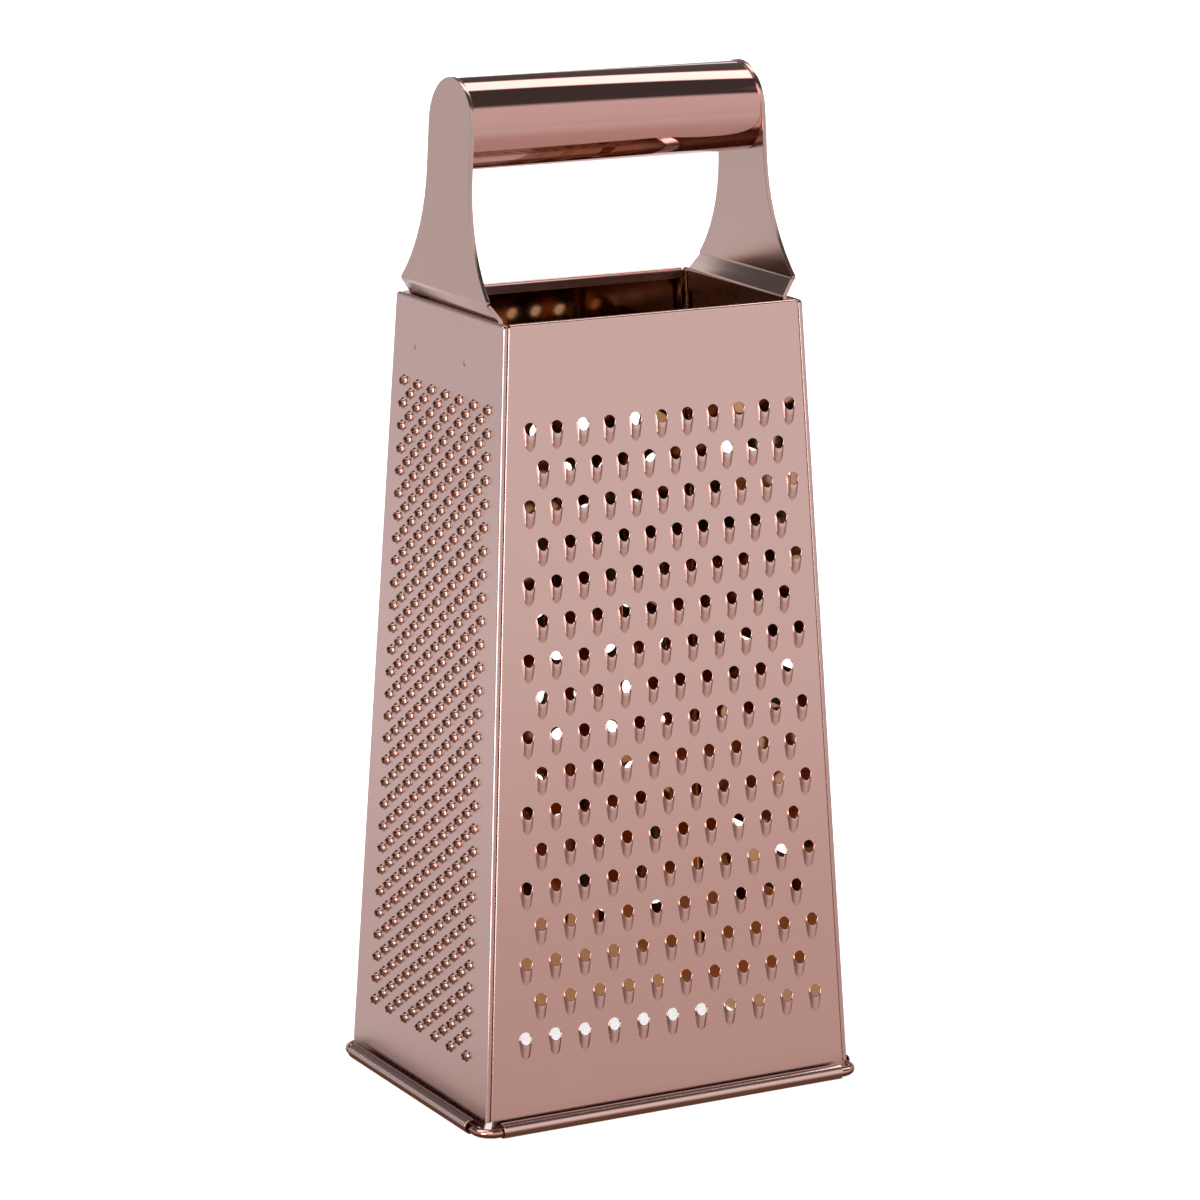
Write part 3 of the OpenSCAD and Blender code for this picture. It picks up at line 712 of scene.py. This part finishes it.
def fill_skin(wall, copies, hole_points, material, punched):
    """Joins the patches to the outline, fills the flat sheet between them and opens the holes."""
    take(wall)
    for copy in copies:
        copy.select_set(True)
    bpy.ops.object.join()
    wall.data.materials.clear()
    for slot in (material, inner_sheet, punched, punch_hollow_shade, material, inner_sheet):
        wall.data.materials.append(slot)
    bpy.ops.object.mode_set(mode="EDIT")
    pick(wall, "EDGE", lambda e: e.is_wire or e.is_boundary)
    bpy.ops.mesh.fill(use_beauty=False)
    bpy.ops.mesh.beautify_fill(angle_limit=math.radians(1))
    paint_picked(wall, FLAT_SLOT)
    bpy.ops.mesh.select_all(action="SELECT")
    bpy.ops.mesh.normals_make_consistent(inside=False)
    shape = bmesh.from_edit_mesh(wall.data)
    if max(shape.faces, key=lambda f: f.calc_area()).normal.y > 0:
        bpy.ops.mesh.flip_normals()
    pick(wall, "FACE", lambda f: len(f.verts) == hole_points)
    bpy.ops.mesh.delete(type="FACE")
    pick(wall, "FACE", lambda f: f.normal.y > -PRESSED_TILT)
    paint_picked(wall, PRESSED_SLOT)


# %% [markdown]
# The four edges are folded as on the press. The top edge is hemmed inwards, which leaves it round to the
# hand, and ends in a flat leaf. The foot is rolled outwards round the wire. At the corners the wide
# wall's side edge is bent back and doubled, and the narrow wall's edge hooks round it: a lock seam, which
# needs no weld. The seam's outer bead is what runs down each corner as a bright line.

# %% Folds of a wall
hem_r = 0.65
hem_leaf = 2.0
roll_turn = 285
seam_r = 0.62
seam_depth = 2.2
seam_bend_r = 0.35


def fold_top_and_foot(wall, top_v, full_width):
    """Rolls the top edge inwards, ends it in a flat leaf, and rolls the foot outwards round the wire."""
    outwards = Vector((0, -1, 0))
    upwards = Vector((0, 0, 1))
    pick(wall, "EDGE", lambda e: e.is_boundary and abs(middle(e).z - top_v * MM) < (corner_ease + 0.01) * MM
         and (full_width or abs(middle(e).x) < MM))
    fold([(0, 180, hem_r)], 90, outwards, upwards)
    pick(wall, "EDGE", lambda e: e.is_boundary and abs(middle(e).x) < MM and middle(e).y > 1.5 * hem_r * MM)
    fold([(hem_leaf, 0, 0)], -90, outwards, upwards)
    pick(wall, "EDGE", lambda e: e.is_boundary and abs(middle(e).z) < NEAR and abs(middle(e).x) < MM)
    fold([(0, roll_turn, roll_in_r)], -90, outwards, upwards)


def fold_sides(wall, half, taper, edge, steps):
    """Folds both slanting side edges. Each step is a length, a turn and a radius, seen from above."""
    for side in (-1, 1):
        slant = Vector((-side * taper, 0, 1)).normalized()
        across = slant.cross(Vector((0, -1, 0))) * side

        def on_side(e):
            place = middle(e)
            line = half - taper * place.z / MM - edge / math.cos(math.atan(taper))
            steep = abs((e.verts[1].co - e.verts[0].co).normalized().dot(slant)) > LEVEL
            return e.is_boundary and steep and abs(place.y) < NEAR and abs(place.x / MM * side - line) < 0.05
        count = pick(wall, "EDGE", on_side)
        fold(steps, 0, across, Vector((0, 1, 0)))
        print(wall.name, "side", side, "folded from", count, "edge")


# %% [markdown]
# After folding, one Solidify gives the whole skin the sheet's thickness inwards, thinner at the torn
# points. The cut edges are broken by a hair so that they catch the light, and the wall is leaned into its
# place. The finished mesh holds its place itself, as the frame's does.

# %% Finish of a wall
TORN_THIN = 0.35
EDGE_BREAK = 0.05


def stand(piece, quarter_turns, distance, foot_z, tilt):
    """Leans a wall drawn upright at the origin into its place and turns it to its side."""
    place = (Matrix.Rotation(quarter_turns * math.pi / 2, 4, "Z")
             @ Matrix.Translation((0, -distance * MM, foot_z * MM))
             @ Matrix.Rotation(-tilt, 4, "X"))
    piece.data.transform(place)
    piece.data.update()


def hand_over(piece, node):
    """Joins a finished piece to the frame in place of its CAD node, and prints its size."""
    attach(piece, "root")
    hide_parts(node)
    low = [round(min(v.co[i] for v in piece.data.vertices) / MM, 1) for i in range(3)]
    high = [round(max(v.co[i] for v in piece.data.vertices) / MM, 1) for i in range(3)]
    print(piece.name, len(piece.data.polygons), "faces, from", low, "to", high)


def finish_wall(wall, node, quarter_turns, distance, foot_z, tilt):
    """Gives a folded skin its thickness, edges and shading, coats the roll all round and stands it up."""
    close_edit()
    torn = {"vertex_group": TORN, "invert_vertex_group": True, "thickness_vertex_group": TORN_THIN}
    modify(wall, "SOLIDIFY", thickness=sheet_t * MM, offset=-1, use_even_offset=False, material_offset=1,
           **(torn if TORN in wall.vertex_groups else {}))
    modify(wall, "BEVEL", width=EDGE_BREAK * MM, segments=1, limit_method="ANGLE",
           angle_limit=math.radians(65))
    smooth(wall, 40)
    shade_flat(wall, lambda f: f.material_index >= FLAT_SLOT and abs(f.normal.y) > LEVEL)
    for face in wall.data.polygons:
        if face.center.z < corner_lift * MM and face.center.y < -2 * NEAR:
            face.material_index = 0
    stand(wall, quarter_turns, distance, foot_z, tilt)
    for vert in wall.data.vertices:
        vert.co.z = max(0.0, vert.co.z)
    hand_over(wall, node)


# %% [markdown]
# The four walls differ only in their patterns and in their folds. Hem and roll stop short of the corners,
# which leaves the wire bare there, as the real foot shows it.

# %% The four walls
wide_edge = 2 * seam_r + leaf_gap + seam_bend_r
wide_top_v = wide_l - hem_r
narrow_top_v = narrow_l - hem_r
wide_hem_half = wide_half - wide_taper * wide_l - 1.7
wide_roll_half = wide_half - 3.3
narrow_hem_half = narrow_half - narrow_taper * narrow_l - 3.4
narrow_roll_half = narrow_half - 4.5
WIDE_SIDE = [(0, 90, seam_bend_r), (seam_depth - seam_bend_r, -180, sheet_t / 2 + leaf_gap),
             (seam_depth - seam_r - leaf_gap, 0, 0)]
NARROW_SIDE = [(0, 180, seam_r), (seam_depth - seam_r, 0, 0)]

for name, node, lip, places, points, quarter_turns in (
        ("fine_wall", "front_shredder", fine_lip, fine_places, FINE_POINTS, 0),
        ("coarse_wall", "back_shredder", coarse_lip, coarse_places, COARSE_POINTS, 2)):
    wall = wall_outline(name, wide_half, wide_taper, wide_top_v, wide_edge, wide_hem_half, wide_roll_half)
    fill_skin(wall, copy_patches(name, [lip], places), points, wide_sheet, pressed_sheet)
    fold_top_and_foot(wall, wide_top_v, False)
    fold_sides(wall, wide_half, wide_taper, wide_edge, WIDE_SIDE)
    finish_wall(wall, node, quarter_turns, wide_y, wide_z, wide_tilt)

for name, node, patches, places, points, punched, quarter_turns in (
        ("rasp_wall", "left_rasp", crowns, rasp_places, CROWN_POINTS, torn_sheet, -1),
        ("slicer_wall", "right_slicer", [slicer_lip], slicer_places, SLICER_POINTS, pressed_sheet, 1)):
    wall = wall_outline(name, narrow_half, narrow_taper, narrow_top_v, seam_r, narrow_hem_half,
                        narrow_roll_half)
    copies = copy_patches(name, patches, places) + copy_patches("weld", [weld_dimple], weld_places)
    fill_skin(wall, copies, points, narrow_sheet, punched)
    fold_top_and_foot(wall, narrow_top_v, True)
    fold_sides(wall, narrow_half, narrow_taper, seam_r, NARROW_SIDE)
    finish_wall(wall, node, quarter_turns, narrow_x, narrow_z, narrow_tilt)

for model in [fine_lip, coarse_lip, slicer_lip, weld_dimple] + crowns:
    bpy.data.objects.remove(model)

# %% [markdown]
# A handle plate is cut from thicker sheet: round above, where it holds the tube, and flaring down in a
# hollow curve to two tips. Below the tips it bends inwards, passes behind the wall's rolled top edge,
# and ends in a tab that is spot welded to the inside of the wall. It is drawn as the half disc of its
# top, whose lower edge is then pulled down step by step along the bent path and widened to the
# outline's width at each step. Bending a finished flat outline would take a tool that needs a window.

# %% Sizes of a handle plate
plate_t = 1.0
plate_proud = 1.7
plate_r = 10.8
flare_r = 37.5
flare_h = 26.8
waist_w = 0.75
shoulder_w = 1.4
tip_round = 0.12
tab_corner_r = 1.5
step_angle = 40
step_r = 1.2
tab_r = 1.0
step_sink = 0.2
tab_l = 17.0
tab_behind_hem = 3.2
plate_in = plate_proud - plate_t
plate_out = plate_proud - plate_t / 2
plate_mid_v = ((total_h - narrow_z - plate_proud * math.sin(narrow_tilt)) / math.cos(narrow_tilt)
               - plate_r)
tip_half = plate_r + flare_r - math.sqrt(flare_r ** 2 - flare_h ** 2)
hem_back = 2 * hem_r + leaf_gap
step_sin, step_cos = math.sin(math.radians(step_angle)), math.cos(math.radians(step_angle))


def slant_length(off, bends_r):
    """Length of the slanting sheet between two equal bends that shift it sideways."""
    return (off - bends_r * (1 - step_cos)) / step_sin


step_slant = slant_length(plate_proud + hem_back, step_r + tab_r)
back_slant = slant_length(hem_back - sheet_t, 2 * tab_r)
step_foot_v = narrow_l - step_sink
tip_v = step_foot_v + (step_r + tab_r) * step_sin + step_slant * step_cos
flare_v = tip_v + flare_h
waist_v = tip_v - (step_r + plate_t / 2) * step_sin
tab_straight = hem_r + tab_behind_hem + sheet_t - step_sink
tab_end_v = narrow_l - tab_l
print("plate from", round(tab_end_v, 1), "to", round(plate_mid_v + plate_r, 1), "mm up the wall")

# %% Outline and bent path of a handle plate
def plate_half(v):
    """Half width of a plate at a height along the wall, with rounded tips and rounded lower corners."""
    waist_half = tip_half - waist_w
    if v >= flare_v:
        return plate_r
    if v >= tip_v:
        return min(tip_half - tip_round, plate_r + flare_r - math.sqrt(flare_r ** 2 - (flare_v - v) ** 2))
    if v >= waist_v:
        share = (tip_v - v) / (tip_v - waist_v)
        return tip_half - tip_round - (waist_w - tip_round) * share ** 1.5
    if v >= step_foot_v:
        return waist_half + shoulder_w * (waist_v - v) / (waist_v - step_foot_v)
    into_corner = max(0.0, tab_corner_r - (v - tab_end_v))
    return waist_half + shoulder_w - tab_corner_r + math.sqrt(max(0.0, tab_corner_r ** 2 - into_corner ** 2))


def plate_path():
    """Places of the plate's middle layer, outwards and up the wall, from the tube down to the tab's end."""
    path = [(plate_out, plate_mid_v), (plate_out, flare_v)]
    for part in range(1, 13):
        path.append((plate_out, flare_v - flare_h * math.sin(math.radians(7.5 * part))))
    heading = -90.0
    for length, turn, radius in ((0, -step_angle, step_r), (step_slant, step_angle, tab_r),
                                 (tab_straight, step_angle, tab_r), (back_slant, -step_angle, tab_r)):
        place = Vector(path[-1])
        if length:
            place += Vector((math.cos(math.radians(heading)), math.sin(math.radians(heading)))) * length
            path.append(tuple(place))
        for _ in range(4):
            heading += turn / 8
            chord = 2 * radius * math.sin(math.radians(step_angle / 8))
            place += Vector((math.cos(math.radians(heading)), math.sin(math.radians(heading)))) * chord
            heading += turn / 8
            path.append(tuple(place))
    return path + [(path[-1][0], tab_end_v + left) for left in (1.5, 0.75, 0.25, 0.0)]


print("bent path of", len(plate_path()), "places")

# %% Model of a handle plate
def make_plate(name, node, quarter_turns):
    """Pulls the half disc down along the path, gives it the plate's thickness and stands it on its wall."""
    plate = start_disc(name, 64, plate_r, "NOTHING")
    pick(plate, "VERT", lambda v: v.co.z < -NEAR)
    bpy.ops.mesh.delete(type="VERT")
    bpy.ops.mesh.select_all(action="SELECT")
    bpy.ops.mesh.edge_face_add()
    path = plate_path()
    bpy.ops.mesh.select_all(action="SELECT")
    bpy.ops.transform.translate(value=(0, -path[0][0] * MM, path[0][1] * MM))
    pick(plate, "EDGE", lambda e: abs(middle(e).z - path[0][1] * MM) < NEAR and abs(middle(e).x) < MM)
    for (out_a, up_a), (out_b, up_b) in zip(path, path[1:]):
        extrude((0, -(out_b - out_a) * MM, (up_b - up_a) * MM))
        bpy.ops.transform.resize(value=(plate_half(up_b) / plate_half(up_a), 1, 1))
    bpy.ops.mesh.select_all(action="SELECT")
    bpy.ops.mesh.normals_make_consistent(inside=False)
    close_edit()
    modify(plate, "SOLIDIFY", thickness=plate_t * MM, offset=0, use_even_offset=True)
    modify(plate, "BEVEL", width=0.16 * MM, segments=2, limit_method="ANGLE", angle_limit=math.radians(50))
    smooth(plate, 35)
    shade_flat(plate, lambda f: abs(f.normal.y) > LEVEL and f.calc_area() > MM * MM)
    stand(plate, quarter_turns, narrow_x, narrow_z, narrow_tilt)
    plate.data.materials.clear()
    plate.data.materials.append(plate_sheet)
    hand_over(plate, node)


make_plate("left_handle_plate", "left_plate", -1)
make_plate("right_handle_plate", "right_plate", 1)

# %% [markdown]
# The handle is a piece of polished tube, cut at both ends to the lean of the plates and held between
# them. A long tube is cut by the two planes of the plates' inner faces, as a saw would do it.

# %% Handle tube
tube_r = 10.5
tube_t = 0.6
tube_z = narrow_z + plate_mid_v * math.cos(narrow_tilt) + plate_in * math.sin(narrow_tilt)
bpy.ops.object.select_all(action="DESELECT")
bpy.ops.mesh.primitive_cylinder_add(vertices=128, radius=tube_r * MM, depth=top_w * MM,
                                    end_fill_type="NOTHING", location=(0, 0, tube_z * MM),
                                    rotation=(0, math.pi / 2, 0))
bpy.ops.object.transform_apply(location=True, rotation=True, scale=True)
tube = start_piece("mirror_tube")
for side in (-1, 1):
    facing = Vector((side * math.cos(narrow_tilt), 0, math.sin(narrow_tilt)))
    bpy.ops.mesh.select_all(action="SELECT")
    bpy.ops.mesh.bisect(plane_co=(Vector((side * narrow_x, 0, narrow_z)) + facing * plate_in) * MM,
                        plane_no=facing, clear_outer=True)
close_edit()
modify(tube, "SOLIDIFY", thickness=tube_t * MM, offset=-1, use_even_offset=True)
modify(tube, "BEVEL", width=0.1 * MM, segments=2, limit_method="ANGLE", angle_limit=math.radians(50))
smooth(tube, 30)
tube.data.materials.clear()
tube.data.materials.append(tube_mirror)
hand_over(tube, "handle_tube")

# %% [markdown]
# The foot wire is one drawn round wire bent to a rounded rectangle, bare at the four corners. It could be
# a bevelled curve, but the frame's own solid already has just this shape, so it only gets its finish.

# %% Foot wire
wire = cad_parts["foot_wire"]
wire.data.materials.clear()
wire.data.materials.append(wire_finish)
print("foot wire spans", [round(v / MM, 1) for v in wire.dimensions], "mm")

# %% [markdown]
# The studio. Polished metal looks only as good as what it mirrors. A picture of a room could stand in for
# the surround, but here it is planned from the bands on the handle tube, as grey levels by angle. Seen
# from the front upwards there are a pale wall, a dark gap, a bright strip lamp just past overhead, a second
# dark gap, a narrow pale strip and a pale wall behind. Seen from above, a tall narrow bright
# panel stands at the front left, which draws the bright lines on the lips and crowns, and a grey
# flag stands at each side, which keeps the narrow walls darker than the wide ones.

# %% Levels of the studio, by angle from the front in degrees
def degrees_to_ramp(stops):
    """Angle, level and cover become place on the ramp, level and cover. A stop without cover has it all."""
    return [(0.5 + stop[0] / 360, stop[1], stop[2] if len(stop) > 2 else 1.0) for stop in stops]


FLAGS = degrees_to_ramp([(-180, 0.5, 0), (-122, 0.5, 0), (-112, 0.5, 1), (-79, 0.5, 1), (-76, 8.0, 1),
                         (-58, 8.0, 1), (-54, 0.9, 0), (62, 0.5, 0), (74, 0.5, 1), (118, 0.5, 1),
                         (128, 0.5, 0), (180, 0.5, 0)])
BANDS = degrees_to_ramp([(-180, 0.92), (-10, 0.92), (0, 0.94), (40, 1.0), (47, 0.09), (90, 0.08),
                         (94, 2.9), (119, 2.9), (124, 0.13), (161, 0.13), (163, 1.2), (169, 1.1),
                         (172, 0.12), (176, 0.12), (178, 0.8), (180, 0.92)])
print(len(FLAGS), "stops round the object,", len(BANDS), "from the front over the top")

# %% Ramps and rays
def ramp_of(tree, value, stops):
    """A ramp from places with a grey level or a colour, and how far each covers what lies under it."""
    ramp = add_node(tree, "ShaderNodeValToRGB", {"Fac": value})
    elements = ramp.color_ramp.elements
    while len(elements) < len(stops):
        elements.new(0.5)
    for element, (place, level, cover) in zip(elements, stops):
        element.position = place
        element.color = (*level, cover) if isinstance(level, tuple) else (level, level, level, cover)
    return ramp


def angle_share(tree, axes, axis):
    """Angle from the front, which is -Y, towards an axis, in whole turns plus a half, as a ramp needs."""
    front = add_node(tree, "ShaderNodeMath", {0: axes.outputs["Y"]}, {1: -1.0}, operation="MULTIPLY")
    angle = add_node(tree, "ShaderNodeMath", {0: axes.outputs[axis], 1: front.outputs[0]},
                     operation="ARCTAN2")
    return add_node(tree, "ShaderNodeMath", {0: angle.outputs[0]}, {1: 1 / (2 * math.pi), 2: 0.5},
                    operation="MULTIPLY_ADD").outputs[0]


def plain_view(tree):
    """1 for the camera's own rays and for rays that went through glass, 0 for what the metal mirrors."""
    rays = add_node(tree, "ShaderNodeLightPath")
    return add_node(tree, "ShaderNodeMath", {0: rays.outputs["Is Camera Ray"],
                                             1: rays.outputs["Is Transmission Ray"]},
                    operation="ADD").outputs[0]


# %% [markdown]
# The floor is white paper for the camera and has a plan of its own for what the metal mirrors. Close to
# the grater the paper is in its shade, and a little pinker at the front from the light that the coat
# throws down, so its level goes in rings, mixed from front to back. Right under the rolled foot lies a
# narrow dark line of contact shade. The panel and flags show on the floor too, from 16 to 40 cm out.

# %% Rings of the floor
FLOOR_REACH = 2.0
BEHIND_FROM = 50 * MM
SHADE_REACH = 10 * MM
SHADE_COLOUR = (0.16, 0.09, 0.06)
CONTACT_SHADE = [(place, SHADE_COLOUR, cover)
                 for place, cover in ((0.0, 0), (0.3, 0), (0.4, 1), (0.65, 1), (0.95, 0))]
FRONT_RINGS = [(0.0, (0.66, 0.57, 0.54), 1), (0.12, (0.72, 0.61, 0.57), 1), (0.18, (0.76, 0.65, 0.61), 1),
               (0.28, (0.86, 0.82, 0.82), 1), (0.4, 0.92, 1), (0.62, 0.92, 1), (1.0, 0.89, 1)]
BACK_RINGS = [(0.0, (0.80, 0.78, 0.77), 1), (0.12, (0.87, 0.83, 0.82), 1), (0.28, 1.03, 1), (0.4, 0.98, 1),
              (0.55, 0.86, 1), (1.0, 0.85, 1)]


def floor_rings(tree, axes, share):
    """The paper's level at a share of the floor's reach, mixed from the front rings to the back ones."""
    behind = add_node(tree, "ShaderNodeMapRange", {"Value": axes.outputs["Y"]},
                      {"From Min": -BEHIND_FROM, "From Max": BEHIND_FROM, "To Min": 0.0, "To Max": 1.0})
    return add_node(tree, "ShaderNodeMix",
                    {"Factor": behind.outputs[0], "A": ramp_of(tree, share, FRONT_RINGS).outputs["Color"],
                     "B": ramp_of(tree, share, BACK_RINGS).outputs["Color"]}, data_type="RGBA")


def contact_shade(tree, axes, ground):
    """Darkens the ground in a narrow line round the rectangle of the foot."""
    beyond = []
    for axis, size in (("X", foot_w), ("Y", foot_d)):
        away = add_node(tree, "ShaderNodeMath", {0: axes.outputs[axis]}, operation="ABSOLUTE")
        beyond.append(add_node(tree, "ShaderNodeMath", {0: away.outputs[0]}, {1: size / 2 * MM},
                               operation="SUBTRACT").outputs[0])
    outside = add_node(tree, "ShaderNodeMath", {0: beyond[0], 1: beyond[1]}, operation="MAXIMUM")
    across = add_node(tree, "ShaderNodeMapRange", {"Value": outside.outputs[0]},
                      {"From Min": -SHADE_REACH, "From Max": SHADE_REACH, "To Min": 0.0, "To Max": 1.0})
    shade = ramp_of(tree, across.outputs[0], CONTACT_SHADE)
    return add_node(tree, "ShaderNodeMix", {"Factor": shade.outputs["Alpha"], "A": ground.outputs["Result"],
                                            "B": shade.outputs["Color"]}, data_type="RGBA")


shade_ends = [round((CONTACT_SHADE[n][0] * 2 - 1) * SHADE_REACH / MM, 1) for n in (1, -1)]
print("contact shade ends", shade_ends, "mm outside the foot")

# %% Floor
CAMERA_LIFT = 0.75  # brings the lit paper to white in the picture and leaves the shadow on it
bpy.ops.object.select_all(action="DESELECT")
bpy.ops.mesh.primitive_plane_add(size=8)
floor = bpy.context.object
floor.name = "floor"
floor_paper, tree = new_material("white paper floor")
place = add_node(tree, "ShaderNodeTexCoord").outputs["Object"]
axes = add_node(tree, "ShaderNodeSeparateXYZ", {0: place})
reach = add_node(tree, "ShaderNodeVectorMath", {0: place}, operation="LENGTH")
share = add_node(tree, "ShaderNodeMath", {0: reach.outputs["Value"]}, {1: FLOOR_REACH}, operation="DIVIDE")
ground = contact_shade(tree, axes, floor_rings(tree, axes, share.outputs[0]))
flags = ramp_of(tree, angle_share(tree, axes, "X"), FLAGS)
apart = add_node(tree, "ShaderNodeMapRange", {"Value": share.outputs[0]},
                 {"From Min": 0.08, "From Max": 0.2, "To Min": 0.0, "To Max": 1.0})
cover = add_node(tree, "ShaderNodeMath", {0: flags.outputs["Alpha"], 1: apart.outputs[0]},
                 operation="MULTIPLY")
mirrored = add_node(tree, "ShaderNodeMix", {"Factor": cover.outputs[0], "A": ground.outputs["Result"],
                                            "B": flags.outputs["Color"]}, data_type="RGBA")
paper = add_node(tree, "ShaderNodeBsdfDiffuse", values={"Color": (0.8, 0.8, 0.8, 1)})
lift = add_node(tree, "ShaderNodeMath", {0: plain_view(tree)}, {1: CAMERA_LIFT}, operation="MULTIPLY")
glow = add_node(tree, "ShaderNodeEmission", {"Strength": lift.outputs[0]}, {"Color": (1, 1, 1, 1)})
seen = add_node(tree, "ShaderNodeAddShader", {0: paper.outputs[0], 1: glow.outputs[0]})
shine = add_node(tree, "ShaderNodeEmission", {"Color": mirrored.outputs["Result"]}, {"Strength": 1.0})
glossy = add_node(tree, "ShaderNodeLightPath").outputs["Is Glossy Ray"]
both = add_node(tree, "ShaderNodeMixShader", {0: glossy, 1: seen.outputs[0], 2: shine.outputs[0]})
add_node(tree, "ShaderNodeOutputMaterial", {"Surface": both.outputs[0]})
floor.data.materials.append(floor_paper)
floor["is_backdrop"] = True
print("floor", floor.dimensions.x, "m wide")

# %% [markdown]
# The world holds the bands and, below 30 degrees, the panel and flags. The camera itself sees plain
# white, which is only a choice by kind of ray and puts no more light on the object.

# %% World
world = bpy.data.worlds.new("studio")
bpy.context.scene.world = world
world.use_nodes = True
tree = world.node_tree
tree.nodes.clear()
axes = add_node(tree, "ShaderNodeSeparateXYZ", {0: add_node(tree, "ShaderNodeTexCoord").outputs["Generated"]})
bands = ramp_of(tree, angle_share(tree, axes, "Z"), BANDS)
flags = ramp_of(tree, angle_share(tree, axes, "X"), FLAGS)
low = add_node(tree, "ShaderNodeMapRange", {"Value": axes.outputs["Z"]},
               {"From Min": math.sin(math.radians(30)), "From Max": 0.6, "To Min": 1.0, "To Max": 0.0})
cover = add_node(tree, "ShaderNodeMath", {0: flags.outputs["Alpha"], 1: low.outputs[0]},
                 operation="MULTIPLY")
mirrored = add_node(tree, "ShaderNodeMix", {"Factor": cover.outputs[0], "A": bands.outputs["Color"],
                                            "B": flags.outputs["Color"]}, data_type="RGBA")
studio = add_node(tree, "ShaderNodeBackground", {"Color": mirrored.outputs["Result"]}, {"Strength": 1.0})
white = add_node(tree, "ShaderNodeBackground", values={"Color": (1, 1, 1, 1), "Strength": 1.0})
choice = add_node(tree, "ShaderNodeMixShader", {0: plain_view(tree), 1: studio.outputs[0],
                                                2: white.outputs[0]})
add_node(tree, "ShaderNodeOutputWorld", {"Surface": choice.outputs[0]})
print("world of", len(tree.nodes), "nodes")

# %% [markdown]
# One soft lamp at the front left, above, gives the floor its shadow and the lips a direction. It is weak,
# because most of a metal's light is what it mirrors.

# %% Soft key lamp
KEY_WATTS = 5
KEY_SIZE = 0.8
bpy.ops.object.light_add(type="AREA", location=(-0.7, -0.9, 1.1))
key = bpy.context.object
key.name = "key_softbox"
key.data.shape = "RECTANGLE"
key.data.size = KEY_SIZE
key.data.size_y = KEY_SIZE
key.data.energy = KEY_WATTS
key.rotation_euler = (key.location - VIEW_TARGET).to_track_quat("Z", "Y").to_euler()
bpy.context.scene.view_settings.view_transform = "Standard"
print("key lamp of", KEY_WATTS, "W")

# %% [markdown]
# Last, the size of what is seen is printed.

# %% Size of what is seen
low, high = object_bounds()
print("visual box", [round(v / MM, 2) for v in low], [round(v / MM, 2) for v in high])
